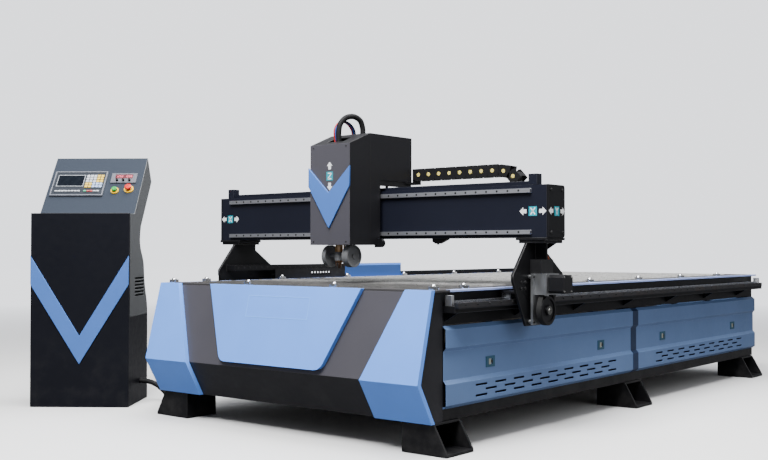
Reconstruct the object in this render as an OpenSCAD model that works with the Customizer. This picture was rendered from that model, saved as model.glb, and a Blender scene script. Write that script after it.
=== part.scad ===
// Gantry plasma cutting table for sheet metal, with its free-standing control cabinet.
// Table axes: X across the bed, Y from the front fascia to the rear, Z up from the floor.
// The finished part is moved so that the floor point under the middle of its box is the origin.

/* [Table] */
// Width of the bed over its side panels, and of the front fascia
table_w = 1800; // [1600:10:2200]
// Length of the bed behind the fascia's top edge
table_l = 3866; // [3400:10:4600]
// Height of the top rim above the floor
table_h = 710; // [680:5:800]
// Height of the feet under the bottom beams
foot_h = 138; // [120:1:160]
// Distance between cutting slats
slat_pitch = 105; // [80:1:160]
// Thickness of one cutting slat
slat_t = 4; // [2:0.5:8]

/* [Frame] */
// Width of the side beams that carry the rails
side_beam_w = 90; // [80:1:110]
// Height of the side beams
side_beam_h = 144; // [130:1:155]
// Width of the bottom beams and of the posts
low_beam_w = 80; // [60:1:90]
// Height of the bottom beams
low_beam_h = 58; // [50:1:70]
// Wall of the welded tubes
tube_wall = 6; // [3:0.5:8]
// Length of a post along the side
post_l = 80; // [60:1:100]
// Section of the cross beams
cross_s = 60; // [50:1:64]
// Thickness of the rim plates on top of the bed
rim_t = 10; // [6:1:12]

/* [Fascia and panels] */
// How far the fascia's ridge stands in front of its top edge
ridge_out = 100; // [60:1:140]
// Height of the ridge above the floor
ridge_z = 314; // [280:1:360]
// How far the blue covers stand proud of the panel behind them
cover_proud = 25; // [15:1:32]
// Sheet thickness of fascia and side panels
sheet_t = 3; // [2:0.5:4]
// How far the side panels stand out from the frame
panel_proud = 22; // [18:1:28]

/* [Gantry] */
// Depth of the gantry beam
beam_d = 150; // [130:1:180]
// Height of the gantry beam
beam_h = 246; // [220:1:280]
// Height of the beam's underside above the bed's rim
beam_lift = 231; // [215:1:260]
// How far the beam reaches past the side of the bed
beam_over = 212; // [205:1:240]
// Distance of the beam's front face from the fascia's top edge at rest
beam_y = 617; // [560:1:700]
// Wall of the gantry beam
beam_wall = 8; // [5:1:12]

/* [Drives] */
// Module of the side racks and their pinions
y_module = 3; // [2.5:0.25:3.25]
// Teeth of a side pinion
y_teeth = 20; // [18:1:21]
// Module of the cross rack
x_module = 2.5; // [2:0.25:2.75]
// Teeth of the cross pinion
x_teeth = 18; // [17:1:19]
// Teeth of the large belt pulley
big_teeth = 84; // [76:1:88]
// Teeth of the motor's belt pulley
small_teeth = 24; // [20:1:28]
// Pitch of the toothed belt
belt_pitch = 5; // [4.5:0.1:5.2]

/* [Head] */
// Width of the head's cover
head_w = 268; // [260:1:300]
// Length of the head's front cover, from its front to the seam
head_front_l = 160; // [150:1:190]
// Radius of the torch barrel
torch_r = 17; // [14:0.5:20]
// Radius of the collision guard discs beside the torch
guard_r = 56; // [45:1:60]

/* [Cabinet] */
// Width of the control cabinet
cab_w = 560; // [520:1:640]
// Depth of the cabinet's base
cab_d = 420; // [400:1:460]
// Height of the cabinet's front panel
cab_front_h = 1092; // [1060:1:1120]
// Height of the cabinet's top edge
cab_top_h = 1438; // [1410:1:1480]
// Turn of the cabinet away from the bed's front
cab_turn = 37.3; // [0:0.1:60]

/* [Hidden] */
$fn = 48;

// Shared clearances
cut = 1;           // overrun of every cut
slide_gap = 0.5;   // flat running gap of guides
round_gap = 0.3;   // gap between curved faces of different pieces
fit_gap = 0.05;    // radial gap of shafts in bores

// Frame places, worked out from the driving sizes
side_x = table_w / 2;
frame_out = side_x - panel_proud;
beam_in = frame_out - side_beam_w;
low_in = frame_out - low_beam_w;
rim_z = table_h - rim_t;
side_beam_z = rim_z - side_beam_h;
low_top = foot_h + low_beam_h;
fascia_gap = 45;
rim_over = 16;
frame_y0 = fascia_gap;
frame_y1 = table_l - rim_over;
post_ys = [frame_y0, (frame_y0 + frame_y1 - post_l) / 2, frame_y1 - post_l];
cross_count = 6;
support_h = 76;
slat_seat = 50;
slat_h = 90;
slat_over = 6;
slat_bottom = table_h + slat_over - slat_h;
support_z = slat_bottom + slat_seat - support_h;
cross_ys = [for (i = [1:cross_count]) frame_y0 + (frame_y1 - frame_y0 - cross_s) * i / (cross_count + 1)];
low_cross_ys = [for (i = [0:4]) frame_y0 + (frame_y1 - frame_y0 - cross_s) * i / 4];

// Feet
foot_l = 200;
foot_in = 163;      // from the frame's outer face inwards
foot_top_out = 12;
foot_flare = 70;    // outward flare between top and floor
foot_plate = 10;
foot_base = 14;
foot_front = 28;

// Fascia outline, seen from the side: top edge, ridge and foot
fascia_line = [[0, table_h], [-ridge_out, ridge_z], [0, foot_h]];
pillar_top_in = 145;     // width of a corner cover at the top edge
pillar_ridge_in = 322;   // width at the ridge
pillar_foot_in = 316;    // width at the bottom
shield_top_half = 505;   // half width of the shield at its top edge
shield_low_half = 335;   // half width at its lower edge, before rounding
shield_low_up = 23;      // lower edge of the shield above the ridge
shield_round = 55;
end_plate_t = 6;
end_plate_l = 58;

// Side panels
panel_gap = 20;
panel_front_gap = 60;
panel_rise = 52;        // bottom edge of the panels above the bottom beams' underside
panel_top_drop = 4;     // gap below the side beams
panel_bevel = 16;       // height of the bevels
panel_step = 14;        // depth of the recessed band
panel_z0 = foot_h + panel_rise;
panel_z1 = side_beam_z - panel_top_drop;
panel_top_share = 0.265;  // upper band's part of the panel's height
panel_low_share = 0.254;  // lower band's part
panel_band_top = (panel_z1 - panel_z0) * panel_top_share;
panel_band_low = (panel_z1 - panel_z0) * panel_low_share;
panel_lip = 10;
vent_w = 95;
vent_h = 9;
vent_pitch = 160;
vent_row = 24;
vent_rows = 3;
vent_cols = 9;
latch_w = 72;
latch_h = 50;
latch_t = 3;
latch_paddle_w = 30;
latch_paddle_h = 26;
latch_paddle_t = 5;
latch_knob_r = 7;
latch_knob_t = 6;
latch_place_shares = [0.2, 0.79];
rear_panel_in = 12;

// Rim and ball units
rim_in = 13;            // rim's inner edge inside the side beam
rim_out = 5;            // rim's outer edge past the bed's side
rim_front_w = 80;
rim_back_gap = 2;
ball_cup_r = 24;
ball_cup_h = 15;
ball_r = 13;
ball_in = 40;           // ball line inside the rim's edge
ball_y0 = 290;
ball_pitch = 590;
front_ball_count = 4;
side_ball_count = 6;

// Slats and trays
slat_gap_end = 14;
slat_first = 60;
support_t = 10;
support_xs = [-1, 0, 1];
support_share = 0.78;   // place of the outer combs across the bed
tray_wall = 3;
tray_h = 270;
tray_side_gap = 22;
tray_end_gap = 14;

// Ledges, rails and racks of the long travel
ledge_w = 72;
ledge_t = 30;
ledge_drop = 60;        // top of the ledge below the rim plates
ledge_z1 = rim_z - ledge_drop;
ledge_x1 = frame_out + ledge_w;
gusset_h = 40;
gusset_t = 8;
gusset_in = 4;
gusset_first = 80;
gusset_pitch = 570;
rail_w = 23;
rail_h = 22;
rail_waist = 4;         // depth of the rail's side grooves
rail_groove_shares = [0.35, 0.5, 0.62, 0.75];
rail_x = frame_out + ledge_w / 2;
rail_end_gap = 45;
rack_t = 22;
rack_back = 24;         // pitch line to the rack's back
rack_sections = 4;
pressure_angle = 20;
dedendum_share = 1.25;
backlash = 0.5;
flank_steps = 4;
y_pitch = PI * y_module;
y_pinion_r = y_module * y_teeth / 2;
rack_up = 15;           // rack's back above the ledge
rack_top_z = ledge_z1 + rack_up;
y_pitch_z = rack_top_z - rack_back;
drive_z = y_pitch_z - y_pinion_r;
drive_y = beam_y + beam_d / 2;
rack_y_min = frame_y0 + rail_end_gap;
rack_teeth = floor((frame_y1 - frame_y0 - 2 * rail_end_gap) / y_pitch / rack_sections);
rack_y0 = drive_y - y_pitch * floor((drive_y - rack_y_min) / y_pitch);
stop_l = 18;
stop_h = 47;
stop_in = 18;

// Gantry places
beam_y1 = beam_y + beam_d;
beam_z0 = table_h + beam_lift;
beam_z1 = beam_z0 + beam_h;
beam_half = side_x + beam_over;
cap_t = 10;
cap_round = 15;
x_rail_w = 20;
x_rail_h = 17;
x_rail_edge = 26;       // rail centre from the beam's edge
x_rail_end = 90;
leg_in = 35;            // leg plate's inner face past the ledge
leg_t = 15;
leg_x0 = ledge_x1 + leg_in;
leg_x1 = leg_x0 + leg_t;
flange_t = 12;
flange_low_t = 14;
flange_in = 44;
flange_end = 6;
flange_step = 14;
flange_over = 12;
leg_tongue_half = 75;
leg_tongue_z = 72;      // tongue's lower edge below the drive shaft
leg_front_out = 125;    // plate's front corner ahead of the beam's face
leg_rear_out = 178;     // plate's rear corner behind the beam's back
leg_shoulder = 146;     // shoulders below the flange
leg_shoulder_h = 28;
leg_neck = 32;
foot_plate_t = 12;
block_l = 77;
block_w = 48;
block_h = 36;
block_lift = 5;
block_spread = 183;     // distance between the two blocks of a side
block_top_z = ledge_z1 + block_lift + block_h;
rib_t = 10;
cable_box_d = 60;
cable_box_half = 55;
cable_box_h = 66;
drive_gap = 15;         // drive plate off the leg plate
drive_plate_t = 12;
drive_plate_half = 75;
drive_plate_low = 66;   // plate's lower edge below the drive shaft
drive_plate_up = 172;   // upper edge above it
drive_x0 = leg_x1 + drive_gap;
drive_x1 = drive_x0 + drive_plate_t;
spacer_r = 10;
spacer_inset = 14;
motor_s = 86;
motor_l = 80;
motor_chamfer = 12;
motor_boss_r = 36;
motor_boss_t = 3;
motor_up = 124;         // motor shaft above the drive shaft
motor_z = drive_z + motor_up;
bracket_l = 53;
bracket_t = 10;
bracket_wall = 8;
bracket_half = 58;
bracket_low = 50;       // bracket's lower edge below the motor shaft
bracket_x1 = drive_x1 + bracket_l;
motor_x0 = bracket_x1 + bracket_t;
motor_hole_r = 37;
belt_w = 25;
belt_t = 3;
belt_off = 14;
belt_x0 = drive_x1 + belt_off;
big_r = big_teeth * belt_pitch / (2 * PI);
small_r = small_teeth * belt_pitch / (2 * PI);
pulley_flange_t = 2;
pulley_hub_r = 24;
pulley_hub_t = 8;
pulley_recess = 6;
pulley_rim = 12;
shaft_r = 10;
shaft_hole_r = 13;
pinion_w = 20;
pinion_hub_r = 17;
pinion_hub_l = 8;
pinion_off = 2;
pinion_x0 = ledge_x1 + pinion_off;
motor_shaft_r = 7;

// Cross rack, tray, stops and chain on the beam
x_pitch = PI * x_module;
x_pinion_r = x_module * x_teeth / 2;
x_rack_t = 18;
x_rack_h = 22;
x_rack_drop = 15;
x_rack_sections = 2;
x_rack_end = 110;
x_rack_teeth = 2 * floor((beam_half - x_rack_end) / x_pitch / x_rack_sections);
tray_floor = 4;
tray_sheet = 3;
duct_w = 100;
duct_lip = 20;
duct_end = 112;
duct_y = beam_y + beam_d / 2;
stop_block = 46;
stop_block_h = 52;
stop_block_end = 62;
chain_w = 62;
chain_h = 64;
chain_wall = 5;
chain_pitch = 67;
chain_link_gap = 0.3;
link_bend_steps = 4;
link_notch_share = 0.38;
chain_bend_r = 100;
chain_behind = 124;     // chain's middle line behind the beam's back
chain_rise = 98;        // upper run's middle line above the beam
chain_y = beam_y1 + chain_behind;
chain_low_z = beam_z1 + chain_rise - 2 * chain_bend_r;
chain_tray_z = chain_low_z - chain_h / 2;
chain_tray_gap = 5;
chain_tray_lip = 12;
chain_tray_l = 750;
chain_tray_end = 100;   // tray's end inside the beam's end
tray_arm_w = 40;
tray_arm_t = 6;
tray_arm_leg = 60;
tray_arm_shares = [0.08, 0.46, 0.84];

// Head places
head_half = head_w / 2;
head_sheet = 2;
head_drop = 32;         // cover's lower edge below the beam
head_z0 = beam_z0 - head_drop;
head_front_out = 269;   // cover's front ahead of the beam
head_side_out = 27;     // rear edge of the cover's lower part ahead of the beam
head_back_out = 88;     // cover's back behind the beam
head_front_up = 233;    // front edge of the roof above the beam
head_roof_up = 295;     // rear of the roof above the beam
head_front_y = beam_y - head_front_out;
head_seam_y = head_front_y + head_front_l;
head_side_y = beam_y - head_side_out;
head_back_y = beam_y1 + head_back_out;
head_front_z = beam_z1 + head_front_up;
head_roof_z = beam_z1 + head_roof_up;
bridge_lift = 58;       // bridge plate above the beam
bridge_t = 12;
bridge_z0 = beam_z1 + bridge_lift;
bridge_z1 = bridge_z0 + bridge_t;
front_plate_t = 3;
chevron_t = 10;
chevron_top_share = 0.775;
chevron_shoulder_share = 0.585;
chevron_apex_share = 0.165;
chevron_inner_share = 0.52;
chevron_over = 6;
carriage_t = 15;
x_block_h = 36;
x_block_l = 70;
x_block_w = 44;
x_block_gap = 6;
x_block_spread = 150;
carriage_y1 = beam_y - x_block_gap - x_block_h;
carriage_y0 = carriage_y1 - carriage_t;
carriage_top = 190;     // carriage plate above the beam
carriage_half = 120;
tab_l = 52;
tab_h = 44;
tab_round = 14;
chain_arm_l = 12;
chain_arm_x0 = 60;
chain_arm_in = 60;      // arm's front edge ahead of the cover's back
chain_arm_t = 10;
x_pinion_y = beam_y1 + x_rack_t + x_pinion_r;
x_rack_z1 = beam_z1 - x_rack_drop;
x_shaft_r = 8;
x_shaft_hole = 14;
z_rail_w = 20;
z_rail_h = 17;
z_rail_x = 70;
z_rail_low = 15;
z_rail_top = 180;
z_screw_r = 8;
z_screw_y = 36;         // screw axis ahead of the carriage plate
z_screw_low = 5;
z_motor_s = 57;
z_motor_l = 56;
z_motor_plate = 8;
z_block_l = 60;
z_block_w = 42;
z_block_h = 30;
z_block_gap = 4;
slide_t = 12;
slide_half = 96;
slide_low = 110;        // slide plate's lower edge above the cover's lower edge
slide_h = 200;
nut_s = 34;
nut_h = 40;
torch_in = 77;          // torch axis behind the cover's front
torch_y = head_front_y + torch_in;
torch_rest = 80;        // tip above the rim at rest
torch_tip_z = table_h + torch_rest;
torch_top = 330;
torch_arm_t = 30;
torch_arm_half = 24;
torch_arm_z = 240;
guard_up = 62;
guard_z = torch_tip_z + guard_up;
guard_left_x = -75;
guard_left_t = 24;
guard_right_x = 62;
guard_right_t = 38;
guard_rim = 9;
guard_dish = 6;
guard_axle_r = 12;
collar_r = 26;
collar_h = 44;
nozzle_h = 26;
nozzle_r = 7;
shield_h = 22;
roof_slot_w = 110;
roof_slot_y0 = 40;
roof_slot_l = 66;
roof_hole_x = 42;
roof_hole_y = 50;
head_rear_gap = 2;

// Cables over the head's roof: route by hand, from the seam's middle at roof height
hose_r = 15;
hose_sides = 12;
hose_route = [[-8, -82, -70], [-8, -82, -30], [-8, -82, 10], [-4, -74, 50], [8, -46, 82], [24, -5, 92],
    [38, 32, 74],
    [42, 48, 36], [42, 50, 0], [42, 50, -40]];
wire_r = 4;
wire_sides = 8;
wire_count = 3;
wire_pitch = 10;
wire_route = [[-4, -80, -70], [-4, -82, -40], [-4, -87, -10], [-4, -86, 20], [-2, -73, 46], [0, -50, 62],
    [0, -22, 66], [0, 8, 58], [0, 34, 40], [0, 47, 20], [0, 50, 3], [0, 50, -25]];

// Long drag chain on the left side
side_tray_w = 75;
side_tray_t = 4;
side_tray_wall = 34;
side_tray_drop = 6;
side_tray_y0 = 900;
side_tray_end = 60;
chain_guard_y0 = 1494;
chain_guard_l = 586;
chain_guard_h = 93;
y_chain_w = 56;
y_chain_h = 32;
y_chain_pitch = 47;
y_chain_bend_r = 30;
y_chain_x = -(side_x + rim_out + side_tray_w / 2 - side_tray_t / 2);
y_chain_low_z = table_h - side_tray_drop + y_chain_h / 2;
y_chain_ahead = 60;     // chain's end ahead of the beam's face
y_chain_start = beam_y - y_chain_ahead;
y_chain_run = 1480;
y_chain_tail = 235;

// Cabinet places, in its own axes: X along its front, Y to its back
cab_gap = 592;
cab_forward = 98;
cab_half = cab_w / 2;
cab_panel_t = 22;
cab_base_h = 505;
cab_side_in = 4;
cab_mid_d = 362;
cab_mid_z = 613;
cab_neck_d = 341;
cab_neck_z = 765;
cab_waist_d = 196;
cab_waist_z = 872;
cab_back_d = 505;
cab_back_share = 0.601;   // back edge between the heights of the front panel and the top edge
cab_back_z = cab_front_h + (cab_top_h - cab_front_h) * cab_back_share;
cab_top_d = 420;
cab_shelf_d = 130;
cab_wall = 3;
cab_chevron_t = 6;
cab_chevron_top = 853;
cab_chevron_low = 691;
cab_chevron_apex = 242;
cab_chevron_inner = 401;
cab_vent_y0 = 139;
cab_vent_y1 = 335;
cab_vent_z0 = 617;
cab_vent_h = 118;
cab_vent_rows = 6;
cab_vent_slot_share = 0.5;
console_rise = cab_top_h - cab_front_h;
console_run = cab_top_d - cab_shelf_d;
console_a = atan2(console_rise, console_run);
console_l = norm([console_rise, console_run]);
unit_x0 = 28;           // controller's left edge from the console's left edge
unit_w = 313;
unit_h = 194;
unit_up_share = 0.297;   // places up the console, as parts of its length
unit_up = console_l * unit_up_share;
unit_t = 14;
unit_frame = 8;
unit_recess = 4;
screen_x0 = 28;
screen_w = 154;
screen_h = 84;
screen_up = 76;
screen_t = 3;
key_s = 17;
key_pitch = 21;
key_t = 6;
key_x0 = 196;
key_up = 62;
key_cols = 5;
key_rows = 5;
row_key_w = 16;
row_key_h = 9;
row_key_pitch = 19;
row_key_count = 8;
row_key_x0 = 26;
row_key_up = 30;
small_key_x0 = 196;
meter_x = 163;
meter_up_share = 0.534;
meter_up = console_l * meter_up_share;
meter_w = 151;
meter_h = 76;
meter_t = 8;
knob_r = 7;
knob_h = 13;
knob_pitch = 37;
knob_up = 16;
knob_stem_r = 4;
knob_stem_l = 4;
start_x = 126;
start_up_share = 0.3965;
start_up = console_l * start_up_share;
start_r = 16;
start_h = 14;
start_collar_r = 24;
stop_x = 207;
stop_up_share = 0.421;
stop_up = console_l * stop_up_share;
stop_r = 20;
stop_cap_h = 14;
stop_rise = 6;
stop_collar_r = 28;
button_collar_t = 8;
button_stem_r = 11;
button_travel = 5;
chamfer_share = 0.25;

// Conduit between cabinet and bed, along the floor between two smooth bends
conduit_r = 15;
conduit_sides = 12;
conduit_rings = 7;
conduit_cab_y = 250;
conduit_cab_z = 120;
conduit_bed_y = 235;
conduit_bed_z = 165;
conduit_mid_out = 270;    // floor point off the frame's left side
conduit_mid_y = 315;
conduit_heading = 14;     // degrees that the floor run turns towards the front
conduit_pull = 125;       // length of the curves' handles
conduit_stub = 12;        // straight length at each end
conduit_start = concat(cab_point(cab_half - cab_side_in + round_gap, conduit_cab_y), conduit_cab_z);
conduit_mid = [-frame_out - conduit_mid_out, conduit_mid_y, conduit_r];
conduit_end = [-frame_out - round_gap, conduit_bed_y, conduit_bed_z];
conduit_run = conduit_pull * [cos(conduit_heading), -sin(conduit_heading), 0];
conduit_out = [cos(cab_turn), sin(cab_turn), 0];
conduit_in = [1, 0, 0];
conduit_route = concat([conduit_start],
    curve(conduit_start + conduit_stub * conduit_out,
        conduit_start + (conduit_stub + conduit_pull) * conduit_out,
        conduit_mid - conduit_run, conduit_mid, conduit_rings),
    [for (i = [1:conduit_rings]) curve(conduit_mid, conduit_mid + conduit_run,
        conduit_end - (conduit_stub + conduit_pull) * conduit_in, conduit_end - conduit_stub * conduit_in,
        conduit_rings)[i]],
    [conduit_end]);

// Box of the whole part, for the origin
cab_corners = [for (s = [-1, 1]) each [
    cab_point(s * cab_half, -cab_chevron_t), cab_point(s * (cab_half - cab_side_in), cab_back_d)]];
part_x0 = min([for (p = cab_corners) p[0]]);
part_x1 = max(motor_x0 + motor_l, beam_half);
part_y0 = min(-ridge_out, min([for (p = cab_corners) p[1]]));
part_y1 = table_l;
mid_x = (part_x0 + part_x1) / 2;
mid_y = (part_y0 + part_y1) / 2;

// Place of a cabinet point on the floor
function cab_point(x, y) = [
    -side_x - cab_gap + x * cos(cab_turn) - y * sin(cab_turn),
    -cab_forward + x * sin(cab_turn) + y * cos(cab_turn)
];

// Point of a circle at an angle
function polar(r, a) = [r * cos(a), r * sin(a)];
function unit(v) = v / norm(v);

// Arc that rounds corner p between its neighbours a and b
function fillet(a, p, b, r, n = 8) =
    let (u = unit(a - p), w = unit(b - p), half = acos(u * w) / 2)
    let (c = p + unit(u + w) * r / sin(half), s = p + u * r / tan(half) - c, e = p + w * r / tan(half) - c)
    let (a0 = atan2(s[1], s[0]), turn = (atan2(e[1], e[0]) - a0 + 540) % 360 - 180)
    [for (i = [0:n]) c + polar(r, a0 + turn * i / n)];

// Outline with each corner rounded by its own radius
function rounded(pts, radii) =
    let (m = len(pts))
    [for (i = [0:m - 1]) each radii[i] > 0
        ? fillet(pts[(i + m - 1) % m], pts[i], pts[(i + 1) % m], radii[i]) : [pts[i]]];

// Outline moved inwards by t; the points run counter-clockwise
function inset(pts, t) = let (m = len(pts)) [for (i = [0:m - 1])
    let (a = unit(pts[i] - pts[(i + m - 1) % m]), b = unit(pts[(i + 1) % m] - pts[i]))
    let (na = [-a[1], a[0]], nb = [-b[1], b[0]]) pts[i] + (na + nb) * t / (1 + na * nb)];

// Cubic curve through two end points with two handles
function curve(a, b, c, d, n = 10) = [for (i = [0:n]) let (t = i / n, s = 1 - t)
    s * s * s * a + 3 * s * s * t * b + 3 * s * t * t * c + t * t * t * d];

// Angle between a tooth's root point on the base circle and its point at radius r
function involute(r, base) = let (t = sqrt(max(0, r * r / base / base - 1))) t * 180 / PI - atan(t);

// Involute gear outline about its centre, with a tooth on the first axis
function gear_outline(teeth, module_size) =
    let (rp = module_size * teeth / 2, base = rp * cos(pressure_angle), ra = rp + module_size)
    let (rr = rp - dedendum_share * module_size, r0 = max(base, rr))
    let (half = 90 / teeth - backlash / rp * 45 / PI + involute(rp, base))
    [for (i = [0:teeth - 1]) let (a = 360 * i / teeth) each concat(
        [polar(rr, a - half + involute(r0, base))],
        [for (k = [0:flank_steps]) let (r = r0 + (ra - r0) * k / flank_steps)
            polar(r, a - half + involute(r, base))],
        [for (k = [flank_steps:-1:0]) let (r = r0 + (ra - r0) * k / flank_steps)
            polar(r, a + half - involute(r, base))],
        [polar(rr, a + half - involute(r0, base))])];

// Straight rack outline: pitch line on the first axis, teeth down, back at the given height
function rack_outline(teeth, module_size, back) =
    let (p = PI * module_size, lean = tan(pressure_angle), half = p / 4 - backlash / 4)
    let (up = dedendum_share * module_size)
    concat([[0, back], [0, up]],
        [for (i = [0:teeth - 1]) let (c = p * (i + 1 / 2)) each [
            [c - half - up * lean, up], [c - half + module_size * lean, -module_size],
            [c + half - module_size * lean, -module_size], [c + half + up * lean, up]]],
        [[p * teeth, up], [p * teeth, back]]);

// Point and heading along a drag chain: upper run, half turn, lower run
function chain_place(s, run, r, low) =
    s < run ? [s, low + 2 * r, 0]
    : s < run + PI * r ? let (a = (s - run) / r * 180 / PI) [run + r * sin(a), low + r + r * cos(a), -a]
    : [run - (s - run - PI * r), low, -180];

// Point beside the chain's middle line, off it by a signed distance
function chain_edge(s, run, r, low, off) =
    let (p = chain_place(s, run, r, low)) [p[0] - off * sin(p[2]), p[1] + off * cos(p[2])];

// Outline of a stretch of chain of a given half height, which follows the bend
function chain_stretch(s0, s1, run, r, low, half) =
    let (bent = s1 > run && s0 < run + PI * r, n = bent ? link_bend_steps : 1)
    concat([for (k = [0:n]) chain_edge(s0 + (s1 - s0) * k / n, run, r, low, -half)],
        [for (k = [n:-1:0]) chain_edge(s0 + (s1 - s0) * k / n, run, r, low, half)]);

// Box between two corners
module box(a, b) translate(a) cube(b - a);
// Flat outline in Y and Z, carried along X
module along_x(x0, x1) translate([x0, 0, 0]) rotate([90, 0, 90]) linear_extrude(x1 - x0) children();
// Flat outline in X and Z, carried along Y
module along_y(y0, y1) translate([0, y1, 0]) rotate([90, 0, 0]) linear_extrude(y1 - y0) children();
// Flat outline in X and Y, carried along Z
module along_z(z0, z1) translate([0, 0, z0]) linear_extrude(z1 - z0) children();
// A piece and its mirror image on the other side of the bed
module both_sides() {
    children();
    mirror([1, 0, 0]) children();
}
// Square tubes along each axis
module tube_x(a, b) difference() {
    box(a, b);
    box(a + [-cut, tube_wall, tube_wall], b + [cut, -tube_wall, -tube_wall]);
}
module tube_y(a, b) difference() {
    box(a, b);
    box(a + [tube_wall, -cut, tube_wall], b + [-tube_wall, cut, -tube_wall]);
}
module tube_z(a, b) difference() {
    box(a, b);
    box(a + [tube_wall, tube_wall, -cut], b + [-tube_wall, -tube_wall, cut]);
}
// Rail section standing on the first axis, with a groove down each side
module rail_section(w, h, waist) {
    ins = [0, waist, waist, 0];
    polygon(concat([[-w / 2, 0], [w / 2, 0]], [for (i = [0:3]) [w / 2 - ins[i], h * rail_groove_shares[i]]],
        [[w / 2, h], [-w / 2, h]], [for (i = [3:-1:0]) [ins[i] - w / 2, h * rail_groove_shares[i]]]));
}
// Drag chain in X and Z, upper run from the origin towards +X, given its runs and sizes
module drag_chain(run, tail, r, low, w, h, pitch) {
    links = floor((run + PI * r + tail) / pitch);
    side = chain_link_gap / 2;
    for (i = [0:links - 1])
        chain_link(i * pitch + side, (i + 1) * pitch - side, run, r, low, w, h);
}
// One chain link between two places along the chain: side plates joined by a top and a bottom bar
module chain_link(s0, s1, run, r, low, w, h) difference() {
    inner = w / 2 - chain_wall;
    along_y(-w / 2, w / 2) polygon(chain_stretch(s0, s1, run, r, low, h / 2));
    along_y(-inner, inner) {
        polygon(chain_stretch(s0 - cut, s1 + cut, run, r, low, h / 2 - chain_wall));
        polygon(chain_stretch(s0 - cut, s0 + h * link_notch_share, run, r, low, h / 2 + cut));
    }
}
// Round tube swept along a route, with flat ends
module swept_tube(route, r, sides, ref) {
    n = len(route);
    dirs = [for (i = [0:n - 1]) unit(route[min(i + 1, n - 1)] - route[max(i - 1, 0)])];
    pts = [for (i = [0:n - 1]) let (u = unit(cross(dirs[i], ref)), v = cross(dirs[i], u))
        for (k = [0:sides - 1]) route[i] + u * r * cos(360 * k / sides) + v * r * sin(360 * k / sides)];
    walls = [for (i = [0:n - 2], k = [0:sides - 1]) let (a = i * sides, b = (k + 1) % sides)
        [a + k, a + sides + k, a + sides + b, a + b]];
    ends = [[for (k = [0:sides - 1]) k], [for (k = [sides - 1:-1:0]) (n - 1) * sides + k]];
    polyhedron(pts, concat(walls, ends));
}

// Bed frame
module side_beams() color("#1c1d20") both_sides() {
    tube_y([beam_in, frame_y0, side_beam_z], [frame_out, frame_y1, rim_z]);
    tube_y([low_in, frame_y0, foot_h], [frame_out, frame_y1, low_top]);
}
module frame_members() color("#1c1d20") {
    both_sides() for (y = post_ys) tube_z([low_in, y, low_top], [frame_out, y + post_l, side_beam_z]);
    for (y = [frame_y0, frame_y1 - cross_s])
        tube_x([-beam_in, y, rim_z - cross_s], [beam_in, y + cross_s, rim_z]);
    for (y = cross_ys) tube_x([-beam_in, y, support_z - cross_s], [beam_in, y + cross_s, support_z]);
    for (y = low_cross_ys) tube_x([-low_in, y, foot_h], [low_in, y + cross_s, low_top]);
}
module foot_box(y) {
    x0 = frame_out - foot_in;
    x1 = frame_out + foot_top_out;
    cheek = [[x0, 0], [x1 + foot_flare, 0], [x1 + foot_flare, foot_base], [x1, foot_h], [x0, foot_h]];
    for (c = [y, y + foot_l - foot_plate]) along_y(c, c + foot_plate) polygon(cheek);
    box([x0, y, 0], [x1 + foot_flare, y + foot_l, foot_base]);
    box([x0, y, 0], [x0 + foot_plate, y + foot_l, foot_h]);
    box([x0, y, foot_h - foot_plate], [x1, y + foot_l, foot_h]);
}
module feet() color("#17181a") both_sides()
    for (y = [foot_front, (table_l - foot_l) / 2, frame_y1 - foot_front - foot_l]) foot_box(y);

// Fascia
module fascia_band(from, to, points) along_x(-side_x, side_x) polygon(concat(
    [for (i = points) fascia_line[i] + [from, 0]],
        [for (i = [len(points) - 1:-1:0]) fascia_line[points[i]] + [to, 0]]));
module fascia_span(x) intersection() {
    children();
    box([-x, -ridge_out - cut, 0], [x, side_x, table_h + cut]);
}
lip_y = cover_proud - ridge_out * rim_t / (table_h - ridge_z);   // panel's front at the rim's underside
module front_upper_panel() color("#6b6a73") fascia_span(frame_out) {
    difference() {
        fascia_band(cover_proud, cover_proud + sheet_t, [0, 1]);
        box([-side_x, -ridge_out, rim_z], [side_x, table_l, table_h + cut]);
    }
    box([-frame_out, lip_y + sheet_t / 2, rim_z - sheet_t], [frame_out, frame_y0, rim_z]);
}
module front_lower_panel() color("#2a2b2d") {
    fascia_span(frame_out) {
        fascia_band(cover_proud, cover_proud + sheet_t, [1, 2]);
        box([-frame_out, cover_proud, foot_h], [frame_out, frame_y0, foot_h + sheet_t]);
    }
    both_sides() along_x(frame_out, frame_out + end_plate_t) polygon([
        [cover_proud, table_h - rim_t], [cover_proud - ridge_out, ridge_z], [cover_proud, foot_h],
        [frame_y0 + end_plate_l, foot_h], [frame_y0 + end_plate_l, table_h - rim_t]]);
}
pillar_outline = [
    [side_x - pillar_top_in, table_h], [side_x - pillar_ridge_in, ridge_z],
        [side_x - pillar_foot_in, foot_h],
    [side_x, foot_h], [side_x, table_h]];
shield_outline = rounded([
    [-shield_top_half, table_h], [-shield_low_half, ridge_z + shield_low_up],
    [shield_low_half, ridge_z + shield_low_up], [shield_top_half, table_h]],
    [0, shield_round, shield_round, 0]);
// Folded cover, open at the back, that follows the fascia's line
module fascia_cover(outline, points) difference() {
    intersection() {
        fascia_band(0, cover_proud, points);
        along_y(-ridge_out - cut, side_x) polygon(outline);
    }
    intersection() {
        fascia_band(sheet_t, cover_proud + cut, points);
        along_y(-ridge_out - cut, side_x) polygon(inset(outline, sheet_t));
    }
}
module front_covers() color("#8fb4ee") {
    both_sides() fascia_cover(pillar_outline, [0, 1, 2]);
    fascia_cover(shield_outline, [0, 1]);
}

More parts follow.
